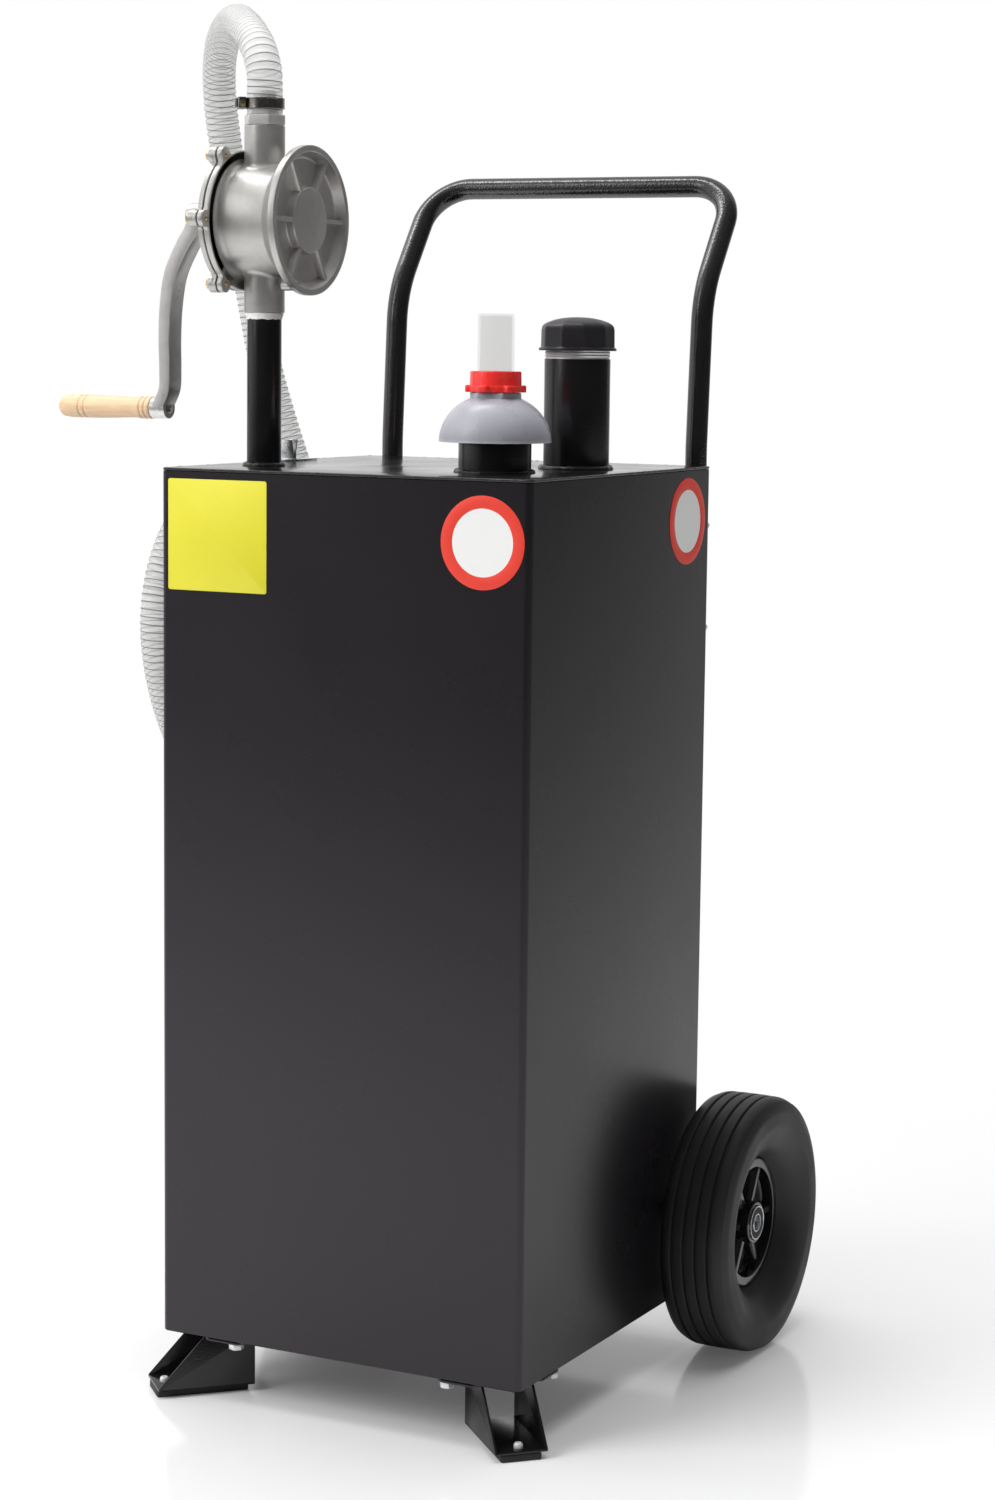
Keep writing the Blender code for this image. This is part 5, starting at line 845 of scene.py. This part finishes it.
def pump():
    """Cast body: ribbed face, case, flange with ears, two ports and a lug."""
    form = Form()
    hub, edge, front = FACE_REACH - 1.5, FACE_REACH - 7, FLANGE_BACK + FLANGE_THICK
    profile = [(0, hub), (31.2, hub, 1.2), (32.6, FACE_POCKET, 1.5), (60, FACE_POCKET, 2),
               (65, FACE_REACH, 0.7), (FACE_RADIUS, FACE_REACH, 0.8), (FACE_RADIUS, edge, 0.6)]
    for share in (i / 12 for i in range(13)):
        flare = (FACE_RADIUS - 2.5 - CASE_RADIUS) * (1 - share) ** 1.3
        profile.append((CASE_RADIUS + flare, edge - 18 * share, 0))
    profile += [(CASE_RADIUS, front, 7.5), (66, front), (66, FLANGE_BACK + 1), (CASE_BORE, FLANGE_BACK + 1),
                (CASE_BORE, CASE_FLOOR), (0, CASE_FLOOR)]
    lathe(form, profile, 128, AT_PUMP, soft=0.6)
    section = ((0.7, 0), (0.2, 0.3), (0, 0.8), (0, 5.2), (0.2, 5.7), (0.8, FLANGE_THICK))
    ring_of(form, ear_outline(), 44.5, [(inset, FLANGE_BACK + z) for inset, z in section], AT_PUMP @ QUARTER)
    rib = mirrored([(3.4, FACE_POCKET - 1), (2.5, FACE_POCKET + 2.2), (2.2, hub - 1.6), (1.6, hub - 0.9),
                    (0, hub - 0.7)])
    for i in range(3):
        for sign in (-1, 1):
            rows = [[(sign * x, y, z) for y, z in rib] for x in (30, 64.3)]
            form.add(rows, matrix=AT_PUMP @ QUARTER @ turned(math.pi / 3 * i, "Z"))
    seat, low, high = PORT_LOW + PORT_SEAT, PUMP_Z - PORT_ROOT, PUMP_Z + PORT_ROOT
    for port in ([(17, PORT_LOW), (PORT_RADIUS, PORT_LOW, 0.8), (PORT_RADIUS, low), (PORT_BORE, low),
                  (PORT_BORE, seat), (17, seat)],
                 [(PORT_BORE, high), (PORT_RADIUS, high), (PORT_RADIUS, PORT_HIGH, 0.8),
                  (16.3, PORT_HIGH, 0.6), (16.3, PORT_HIGH - 14), (PORT_BORE, PORT_HIGH - 14)]):
        lathe(form, port, 96, AT_RISER, closed=True, soft=0.4)
    for sign in (-1, 1):
        port_fillet(form, sign)
    lug = placed(PUMP_X + 33.5, PUMP_Y - 12, PUMP_Z - 62, ALONG_X)
    lathe(form, [(0, -5.5), (4.8, -5.5), (4.8, 12.5), (0, 12.5)], 32, lug, soft=0.8)
    form.make("cast_body", "pump_body", cast, sharp=38)


def port_fillet(form, sign):
    """The cast fillet where a port grows out of the round case."""
    size, sides, steps = 4.2, 96, 6
    columns = []
    for near, wide in zip(circle(PORT_RADIUS, sides), circle(PORT_RADIUS + size, sides)):
        corner, lower = (Vector((x, y, math.sqrt(CASE_RADIUS ** 2 - y ** 2))) for x, y, _ in (near, wide))
        upper = corner + Vector((0, 0, size))
        columns.append([(p.x, p.y, sign * p.z) for p in arc(upper, corner, lower, steps)])
    form.add(list(zip(*columns)), caps=(False, False), matrix=placed(PUMP_X, PUMP_Y, PUMP_Z))


def cover():
    """Back cover with six ear bosses and the shaft's boss, and its bolts."""
    form = Form()
    section = [(0.6, COVER_FACE), (0, COVER_FACE - 0.6), (0, COVER_BACK + 1.2), (0.4, COVER_BACK + 0.4),
               (1.4, COVER_BACK)]
    ring_of(form, ear_outline(), 8.2, section, AT_PUMP @ QUARTER)
    bore, floor = SHAFT_RADIUS + GAP, BOSS_END + SEAL_DEPTH
    boss = [(bore, COVER_BACK + 1), (30, COVER_BACK + 1), (29, COVER_BACK - 0.8, 1),
            (20.5, COVER_BACK - 3, 4), (BOSS_RADIUS, COVER_BACK - 8.5, 4), (BOSS_RADIUS, BOSS_END, 1.2),
            (SEAL_RADIUS, BOSS_END, 0.5), (SEAL_RADIUS, floor), (bore, floor)]
    lathe(form, boss, 80, AT_SHAFT, closed=True, soft=0.6, steps=4)
    spots = [AT_PUMP @ Matrix.Translation(QUARTER @ Vector(p)) for p in circle(EAR_CIRCLE, EARS)]
    hole_radius, root, face = 3.2, COVER_BACK + 2, COVER_BACK - EAR_BOSS
    for spot in spots:
        ear = [(hole_radius, root), (EAR_RADIUS, root), (EAR_RADIUS, face, 0.8), (hole_radius, face)]
        lathe(form, ear, 40, spot, closed=True, soft=0.3)
    form.make("cast_cover", "pump_cover", cast, sharp=38)
    seat, tip = face - GAP, FLANGE_BACK + FLANGE_THICK + 1.5
    for i, spot in enumerate(spots):
        form = Form()
        stem = [(0, tip), (2.2, tip), (2.8, tip - 1), (2.8, seat - 1, 0), (0, seat - 1)]
        lathe(form, stem, 24, spot, soft=0.2, steps=2)
        slab(form, hexagon(5.5, i * 0.7), seat - 4, seat, 0.6, spot)
        lathe(form, [(0, seat - 4.3), (4.4, seat - 4.1), (5, seat - 3), (0, seat - 3)], 24, spot, soft=0.3)
        form.make(f"brass_bolt_{i + 1}", f"cover_bolt_{i + 1}", brass)


def crank():
    """Curved crank arm with its two bosses, the pin and the wooden grip."""
    line = smooth_points([(-reach, 0, -drop) for reach, drop in CRANK_LINE], 8)
    rows = []
    for i, point in enumerate(line):
        ahead = heading(line, i)
        share = i / (len(line) - 1)
        thick = CRANK_TOP_THICK * (1 - share) + CRANK_END_THICK * share
        shape = rectangle(thick, CRANK_WIDTH, CRANK_EDGE, 3)
        rows.append([point + Vector((-ahead.z * x, y, ahead.x * x)) for x, y in shape])
    form = Form()
    form.add(rows, matrix=placed(PUMP_X, PUMP_Y, SHAFT_Z))
    reach, _ = CRANK_LINE[0]
    bore, low, high = SHAFT_RADIUS + GAP, -reach - CRANK_BOSS_HALF, CRANK_BOSS_HALF - reach
    boss = [(bore, low), (CRANK_BOSS_RADIUS, low), (CRANK_BOSS_RADIUS, high), (bore, high)]
    lathe(form, boss, 56, AT_SHAFT, closed=True, soft=1.2, steps=4)
    reach, drop = CRANK_LINE[-1]
    pin_at = placed(PUMP_X, PUMP_Y, SHAFT_Z - drop, ALONG_X)
    bore, low, high = PIN_RADIUS + GAP, -reach - PIN_BOSS_HALF, PIN_BOSS_HALF - reach
    eye = [(bore, low), (PIN_BOSS_RADIUS, low, 0.6), (PIN_BOSS_RADIUS, high, 1), (bore, high)]
    lathe(form, eye, 56, pin_at, closed=True, soft=0.4, steps=4)
    # The crank arm takes the lighter copy of the cast aluminium: painted light.
    form.make("cast_crank", "crank_arm", lit_arm_cast, body="crank", sharp=38)

    rivet, end = high + GAP, GRIP_START - GRIP_LENGTH
    form = Form()
    profile = [(0, rivet + 1.5), (3.5, rivet + 1.3), (5.5, rivet), (PIN_RADIUS, rivet), (PIN_RADIUS, end + 4),
               (6.5, end + 4), (6.5, end + 0.8), (5.2, end + GAP), (0, end + GAP)]
    lathe(form, profile, 32, pin_at, soft=0.4, steps=2)
    form.make("riveted_pin", "grip_pin", zinc, body="crank")

    profile = [(6.8, end), (8.2, end, 0.6), (10.4, end + 2.4, 2), (10.8, end + 6, 2)]
    profile += [grip_point(share, 2) for share in (0.10, 0.16)] + groove(0.23) + groove(0.29)
    profile += [grip_point(share, 6) for share in (0.38, 0.48, 0.60, 0.72, 0.82)]
    profile += groove(0.90) + groove(0.95)
    profile += [(GRIP_RADIUS * 0.97, GRIP_START - 1.4, 0.8), (GRIP_RADIUS * 0.90, GRIP_START, 0.4),
                (bore, GRIP_START), (bore, end + 4.3), (6.8, end + 4.3)]
    form = Form()
    lathe(form, profile, 72, pin_at, closed=True, soft=0.3, steps=4)
    form.make("wooden_grip", "crank_grip", wood, body="grip", sharp=48)


def grip_point(share, soft, deeper=0.0, along=0.0):
    """A point of the grip's profile, from its free end at zero to one, with its corner's radius."""
    swell = math.sin(math.pi * min(max((share - 0.2) / 0.75, 0), 1))
    waist = 1 - 0.14 * min(max((share - 0.35) / 0.45, 0), 1)
    radius = GRIP_RADIUS * (0.96 if share > 0.88 else min(waist + 0.02 * swell, 0.995))
    return radius - deeper, GRIP_START - GRIP_LENGTH * (1 - share) + along, soft


def groove(share):
    """A turned groove in the grip's profile."""
    return [grip_point(share, 0.3, along=-1.6), grip_point(share, 0.6, deeper=1.1),
            grip_point(share, 0.3, along=1.6)]


def shaft():
    """Plain shaft with a chamfered end."""
    form = Form()
    high = CASE_FLOOR + 6 - GAP
    profile = [(0, SHAFT_END), (SHAFT_RADIUS - 1, SHAFT_END), (SHAFT_RADIUS, SHAFT_END + 1),
               (SHAFT_RADIUS, high), (0, high)]
    lathe(form, profile, 48, AT_SHAFT, soft=0.3, steps=2)
    form.make("steel_shaft", "pump_shaft", zinc, body="crank")


def thread_tape():
    """White tape wound on the riser's thread, with a loose lower edge."""
    sides, high = 120, PORT_LOW - GAP
    low = high - 5.8
    rows = []
    for extra, lift in ((0, 0), (0.4, 0.8), (0.1, 1.8), (0.8, 3), (1.3, 4.2), (1.6, 5), (1.7, 5.8)):
        row = []
        for x, y, _ in circle(1, sides):
            wave = noise.noise(Vector((x * 3, y * 3, lift * 0.3)))
            r = RISER_RADIUS + 0.5 + extra * (0.8 + 0.5 * wave)
            loose = 1.2 * noise.noise(Vector((x * 4, y * 4, 9))) if lift < 1 else 0
            row.append((r * x, r * y, low + lift + loose))
        rows.append(row)
    rows += [circle(RISER_RADIUS + GAP, sides, z) for z in (high, low + 1)]
    form = Form()
    form.add(rows, closed=True, matrix=AT_RISER)
    form.make("wound_tape", "thread_tape", tape, sharp=60)


# Handle, feet and small steel parts

def handle():
    """Bent tube handle with round bends, and its four bolts."""
    half, radius, chamfer = 176.2, 11, 0.6
    leg_y = DEPTH / 2 + GAP + radius
    side = [(half, leg_y, 705), (half, leg_y, 930), (half, leg_y + 9.5, 1084), (half, 301.6, 1195)]
    bends = [150, 110, 46]
    path = rounded_path([(-x, y, z) for x, y, z in side] + side[::-1], bends + bends[::-1], 14)
    rise = Vector((0, 0, chamfer))
    path = [path[0], path[0] + rise] + path[1:-1] + [path[-1] + rise, path[-1]]
    ends = (0, len(path) - 1)
    form = Form()
    form.add(rings(path, lambda i, turn: radius - chamfer if i in ends else radius, 40))
    form.make("bent_tube", "push_handle", coat_handle, sharp=50)
    washer = -2 * (radius + GAP)
    face = washer - 1.6
    nut = face - 6.5
    for i, (sx, z) in enumerate([(s, z) for s in (-1, 1) for z in (745, 849.5)]):
        form = Form()
        spot = placed(sx * half, DEPTH / 2, z, ALONG_Y)
        stud = [(0, 8), (4, 8), (4, nut - 9), (3.2, nut - 10), (0, nut - 10)]
        lathe(form, stud, 24, spot, soft=0.3, steps=2)
        ring = [(4, washer), (8.5, washer), (8.5, face), (4, face)]
        lathe(form, ring, 40, spot, closed=True, soft=0.3, steps=2)
        slab(form, hexagon(7.5, 0.3 + i), nut, face, 0.8, spot, steps=3)
        form.make(f"handle_bolt_{i + 1}", f"handle_stud_{i + 1}", zinc)


def foot(side):
    """Folded sheet foot with its bright bolts and rubber pad."""
    name, turn = ("right", -45) if side > 0 else ("left", -135)
    at = placed(side * WIDTH / 2, -DEPTH / 2, 0, turned(math.radians(turn), "Z"))
    sheet, base, high = 2.5, 7.3, TANK_LOW - GAP
    under, sole = high - sheet, base + sheet
    heel, nose, half, wide = -88, 9, 26, 59
    run, rise = 46.4, 50.7
    slope = nose - run * (high - sole) / rise
    form = Form()
    flat = softened([(heel, -half), (nose, -half), (nose, half), (heel, half)], 2)
    slab(form, flat, base, sole, 0.6, at)
    wall = softened([(heel, base), (nose, base), (nose, sole), (slope, high), (heel, high)], 1.2, 2)
    for sign in (-1, 1):
        slab(form, wall, -sheet / 2, sheet / 2, 0.6, at @ placed(0, sign * (half - sheet / 2), 0, ALONG_Y))
        wing = [(heel, sign * (half - 1)), (slope + 1, sign * (half - 1)), (slope + 1, -sign * (slope + 3)),
                (-wide - 2, sign * wide), (heel, sign * wide)]
        slab(form, softened(wing, 2), under, high, 0.6, at)
    form.make(f"{name}_folded_foot", f"{name}_foot", coat_pipe)
    form = Form()
    for across in (-51.5, 51.5):
        spot = at @ placed(-63, across, 0)
        slab(form, hexagon(7.5, 0.4 + across * 0.01), under - 5.5, under, 0.8, spot, steps=3)
        dome = [(0, under - 5.8), (6, under - 5.7), (6.8, under - 4), (0, under - 4)]
        lathe(form, dome, 32, spot, soft=0.4, steps=2)
    head = [(0, sole - 1), (4.5, sole - 1), (4.5, sole + 3, 1.8), (3.2, sole + 5, 0.6), (1.8, sole + 5),
            (1.8, sole + 2.8), (0, sole + 2.8)]
    lathe(form, head, 32, at @ placed(nose - 11, 0, 0), soft=0.2)
    # The foot bolts take the paler copy of the zinc: painted light against the shade under the tank.
    form.make(f"{name}_foot_bolts", None, lit_copy_zinc)
    form = Form()
    back, across = nose - 92, 20
    pad = softened([(back, -across), (nose, -across), (nose, across), (back, across)], 3)
    slab(form, pad, 0, 7, 0.9, at, steps=3)
    form.make(f"{name}_rubber_pad", f"{name}_foot_pad", rubber)


def hook_and_clip():
    """Hook for the hose's loop, and the spring clip on the top plate."""
    form = Form()
    sheet, reach, drop, lip = 3, 60, 58, 22
    half, end = sheet / 2, sheet / 2 - reach
    centre = [(-half, -drop), (-half, -half), (end, -half), (end, lip)]
    form.add(strip(rounded(centre, 7, 6), sheet, 30), matrix=placed(-WIDTH / 2 - GAP, -30, 867.4, ALONG_Y))
    form.make("bent_hook", "hose_hook", coat_pipe, sharp=40)
    form = Form()
    low, sheet, half, rise = TOP_Z + GAP, 1.5, 2.5, 21
    slab(form, rectangle(14, 60, 2), low, low + sheet, 0.4, placed(-184, 28, 0))
    for sign in (-1, 1):
        prong = [(half + 4, 0.8), (half, 1), (half, rise * 0.45), (half + 3, rise)]
        prong = [(sign * x, z) for x, z in prong]
        form.add(strip(rounded(prong, 2.5, 5), sheet, 14), matrix=placed(-184, 12, low, ON_SIDE))
    form.make("spring_clip", "nozzle_clip", zinc, sharp=40)


# Wheels

def wheel(side):
    """Grooved tyre, ribbed rim, two bearings."""
    name = "right" if side > 0 else "left"
    body = f"{name}_wheel"
    at = placed(side * WHEEL_X, WHEEL_Y, TYRE_RADIUS, turned(side * math.pi / 2, "Y"))
    half, crown_drop = TYRE_WIDTH / 2, 0.6
    wall = smooth_points([(TYRE_RADIUS * r, half * w, 0) for w, r in TYRE_FLANK], 6)
    wall = [(p.x, min(p.y, half), 0) for p in wall]
    shoulder = TYRE_RADIUS - crown_drop
    profile = [(BEAD_RADIUS, BEAD_HALF)] + wall + [(shoulder, TREAD_HALF, 3)]
    for share in TREAD_GROOVES:
        z, crown = TREAD_HALF * share, TYRE_RADIUS - crown_drop * share * share
        root = crown - GROOVE_DEPTH
        profile += [(crown, z + GROOVE_HALF, 0.4), (root, z + 0.4, 0.3), (root, z - 0.4, 0.3),
                    (crown, z - GROOVE_HALF, 0.4)]
    profile += [(shoulder, -TREAD_HALF, 3)] + [(r, -z, 0) for r, z, _ in wall[::-1]]
    profile.append((BEAD_RADIUS, -BEAD_HALF))
    form = Form()
    lathe(form, profile, 160, at, closed=True, soft=1)
    form.make(f"{name}_ribbed_tyre", f"{name}_tyre", tyre_rubber, body, sharp=50)

    barrel, lip, seat = BEAD_RADIUS - GAP, RIM_HALF - RIM_LIP, BEARING_RADIUS + GAP
    inner, bearing_end = barrel - 5, HUB_OUTER + BEARING_OUT
    shelf_out, shelf_in = bearing_end - BEARING_WIDTH - GAP, HUB_INNER + BEARING_WIDTH + GAP
    form = Form()
    rim = [(RIM_RADIUS, RIM_HALF), (RIM_RADIUS, lip), (barrel, lip), (barrel, -lip), (RIM_RADIUS, -lip),
           (RIM_RADIUS, -RIM_HALF), (inner, -RIM_HALF), (inner - 0.8, -4, 3), (HUB_RADIUS + 1, -4, 2),
           (HUB_RADIUS, HUB_INNER), (seat, HUB_INNER), (seat, shelf_in), (HUB_BORE, shelf_in),
           (HUB_BORE, shelf_out), (seat, shelf_out), (seat, HUB_OUTER), (HUB_RADIUS, HUB_OUTER),
           (HUB_RADIUS + 1, 0, 2), (inner - 0.8, 0, 3), (inner, RIM_HALF)]
    lathe(form, rim, 128, at, closed=True, soft=0.9)
    section = mirrored([(6.8, -2), (6.2, 2), (5, lip - 3.5), (3, lip - 1.5), (0, lip - 1.2)])
    rows = [[(x, y, z) for y, z in section] for x in (HUB_RADIUS - 1, inner + 2)]
    for i in range(RIM_RIBS):
        form.add(rows, matrix=at @ turned(2 * math.pi * (i + 0.5) / RIM_RIBS, "Z"))
    form.make(f"{name}_moulded_rim", f"{name}_rim", rim_black, body, sharp=38)
    middle = (BEARING_BORE + BEARING_RADIUS) / 2
    for where, out, step in (("outer", bearing_end, -1), ("inner", HUB_INNER, 1)):
        back, pocket, near, deep = (out + step * z for z in (BEARING_WIDTH, 0.6, 0.3, 0.8))
        form = Form()
        races = [(BEARING_RADIUS, out), (BEARING_RADIUS, back), (BEARING_BORE, back), (BEARING_BORE, out),
                 (BEARING_BORE + 1, out), (BEARING_BORE + 1.2, pocket), (BEARING_RADIUS - 1.3, pocket),
                 (BEARING_RADIUS - 1.1, out)]
        lathe(form, races, 72, at, closed=True, soft=0.3, steps=2)
        shield = [(middle - 3.3, deep), (middle + 3.3, deep), (middle + 3.1, near), (middle - 3.1, near)]
        lathe(form, shield, 72, at, closed=True, slot=1, soft=0.2, steps=2)
        form.make(f"{name}_{where}_ball_bearing", f"{name}_{where}_bearing", [zinc, rubber], body)


def axle():
    """Round axle with chamfered ends."""
    reach, chamfer = WHEEL_X + HUB_OUTER + BEARING_OUT - AXLE_SINK, 1.2
    half = [(0, reach), (AXLE_RADIUS - chamfer, reach), (AXLE_RADIUS, reach - chamfer)]
    form = Form()
    profile = [(r, -z) for r, z in half] + half[::-1]
    lathe(form, profile, 48, placed(0, WHEEL_Y, TYRE_RADIUS, ALONG_X), soft=0.3, steps=2)
    form.make("round_axle", "axle", dark_steel)


def dress_hidden():
    """Better finishes for the CAD nodes that stay."""
    vanes = tuple(f"rotor_vane_{i}" for i in range(1, 5))
    for names, mat in ((("suction_tube", "gauge_stem", "float_arm"), zinc), (("pump_gasket",), paper),
                       (("suction_strainer",), black_plastic), (("shaft_seal", "fill_cap_gasket"), rubber),
                       (("pump_rotor",), cast), (vanes, carbon), (("gauge_rod",), red_plastic)):
        for name in names:
            for material_slot in nodes[name].material_slots:
                material_slot.material = mat


# Stage and light, in metres

# Where the floor's painted shade reaches its darkest, in front of the object.
FLOOR_SIZE, FLOOR_SHADE_Y = 14.0, -7.1
WHITE = (1, 1, 1, 1)


def seen(tree):
    """One for rays that show a thing itself, straight or through clear parts."""
    ray = tree.nodes.new("ShaderNodeLightPath").outputs
    kinds = {0: ray["Is Camera Ray"], 1: ray["Is Transmission Ray"]}
    return output(tree, "Math", kinds, operation="MAXIMUM")


def stage():
    """Pale glossy floor that fades into a white background; its colour darkens towards the front, past the
    camera, as painted shade standing for the dark studio there.
    """
    mesh = bpy.data.meshes.new("floor")
    corners = [(x * FLOOR_SIZE, y * FLOOR_SIZE, 0) for x, y in ((-1, -1), (1, -1), (1, 1), (-1, 1))]
    mesh.from_pydata(corners, [], [(0, 1, 2, 3)])
    mat, tree, shader = material("studio_floor")
    where = output(tree, "TexCoord", result="Object")
    along = output(tree, "SeparateXYZ", {"Vector": where}, "Y")
    # Painted shade: the floor's colour goes from pale by the object to nearly black far in front, so that
    # reflections and bounced light from there are dark.
    depth = output(tree, "MapRange", {"Value": along, "From Min": FLOOR_SHADE_Y, "From Max": 0}, "Result")
    floor_shade = ramp(tree, depth, ((0.0, 0.05), (0.39, 0.22), (0.66, 0.45), (0.84, 0.93)))
    feed(tree, shader, {"Roughness": 0.13, "Specular IOR Level": 0.45, "Base Color": floor_shade})
    far = output(tree, "VectorMath", {0: where}, "Value", operation="LENGTH")
    reach = {"Value": far, "From Min": 0.25, "From Max": 1.5, "To Min": 0.07}
    fade = output(tree, "MapRange", reach, "Result", interpolation_type="SMOOTHSTEP")
    share = output(tree, "Math", {0: seen(tree), 1: fade}, operation="MULTIPLY")
    white = output(tree, "Emission", {"Color": WHITE})
    mix = output(tree, "MixShader", {"Fac": share, 1: shader.outputs["BSDF"], 2: white})
    feed(tree, tree.nodes["Material Output"], {"Surface": mix})
    mesh.materials.append(mat)
    floor = bpy.data.objects.new("floor", mesh)
    bpy.context.scene.collection.objects.link(floor)


def world():
    """White background, and a studio that is bright behind and dark in front."""
    data = bpy.data.worlds.new("studio")
    bpy.context.scene.world = data
    data.use_nodes = True
    tree = data.node_tree
    shown = tree.nodes["Background"]
    feed(tree, shown, {"Color": WHITE, "Strength": 1.0})
    where = output(tree, "TexCoord", result="Generated")
    facing = output(tree, "VectorMath", {0: where, 1: (-0.93, 0.36, 0.0)}, "Value", operation="DOT_PRODUCT")
    span = output(tree, "MapRange", {"Value": facing, "From Min": -1, "From Max": 1}, "Result")
    level = ramp(tree, span, ((0.0, 0.05), (0.44, 0.08), (0.55, 0.36), (0.70, 0.66), (0.86, 0.95),
                              (1.0, 0.80)))
    above = ramp(tree, span, ((0.0, 0.08), (0.35, 0.15), (0.55, 0.60), (1.0, 0.95)))
    height = output(tree, "SeparateXYZ", {"Vector": where}, "Z")
    rise = output(tree, "MapRange", {"Value": height, "From Min": 0.18, "From Max": 0.75}, "Result",
                  interpolation_type="SMOOTHSTEP")
    blend = output(tree, "Mix", {"Factor": rise, "A": level, "B": above}, "Result", data_type="RGBA")
    around = output(tree, "Background", {"Color": blend})
    mix = output(tree, "MixShader", {"Fac": seen(tree), 1: around, 2: shown.outputs["Background"]})
    feed(tree, tree.nodes["World Output"], {"Surface": mix})


def lamp(name, place, aim, size, power, highlight=False):
    """A soft rectangular lamp, for light alone or for highlights alone."""
    data = bpy.data.lights.new(name, "AREA")
    data.shape, data.energy = "RECTANGLE", power
    data.size, data.size_y = size
    obj = bpy.data.objects.new(name, data)
    obj.location = place
    obj.rotation_euler = (Vector(aim) - Vector(place)).to_track_quat("-Z", "Y").to_euler()
    obj.visible_diffuse, obj.visible_glossy = not highlight, highlight
    bpy.context.scene.collection.objects.link(obj)


camera()
hose, hose_path = hose_piece()
top_clamp = band_clamp("hose_band", "hose_clamp", HOSE_ROUTE[0], 10.4, math.radians(222))
low_clamp = band_clamp("spout_band", "spout_clamp", HOSE_ROUTE[-1], 14, math.pi)
spout = spout_piece()
nipple_piece()
tank()
top_plate()
welds()
pipe("riser", "riser_pipe", PUMP_X, PUMP_Y, RISER_RADIUS, RISER_BORE, PORT_LOW - GAP + 13.8)
pipe("filler_pipe", "fill_neck", FILL_X, FILL_Y, FILL_RADIUS, FILL_BORE, FILL_TOP, FILL_TOP - FILL_THREAD)
pipe("gauge_pipe", "gauge_neck", GAUGE_X, GAUGE_Y, NECK_RADIUS, NECK_BORE, NECK_TOP)
stickers()
fill_cap()
gauge()
pump()
cover()
crank()
shaft()
thread_tape()
handle()
foot(-1)
foot(1)
hook_and_clip()
wheel(-1)
wheel(1)
axle()
dress_hidden()
stage()
world()
lamp("key", (-1.7, -2.6, 2.4), (0.0, -0.1, 0.6), (1.8, 2.2), 92)
lamp("top", (0.1, -0.1, 3.0), (0.0, 0.0, 0.5), (2.2, 2.2), 62)
lamp("fill", (2.6, -1.0, 1.6), (0.0, 0.0, 0.6), (1.2, 1.8), 6)
lamp("strip", (-1.6, -2.2, 2.4), (0.0, 0.0, 1.1), (0.4, 1.8), 6, highlight=True)
lamp("roof", (-1.5, 0.0, 2.7), (0.0, 0.0, 1.0), (1.2, 1.8), 7, highlight=True)
lamp("rail", (-0.58, 0.0, 2.45), (0.0, 0.1, 1.1), (0.15, 1.2), 5, highlight=True)

scene = bpy.context.scene
scene.view_settings.view_transform = "Standard"
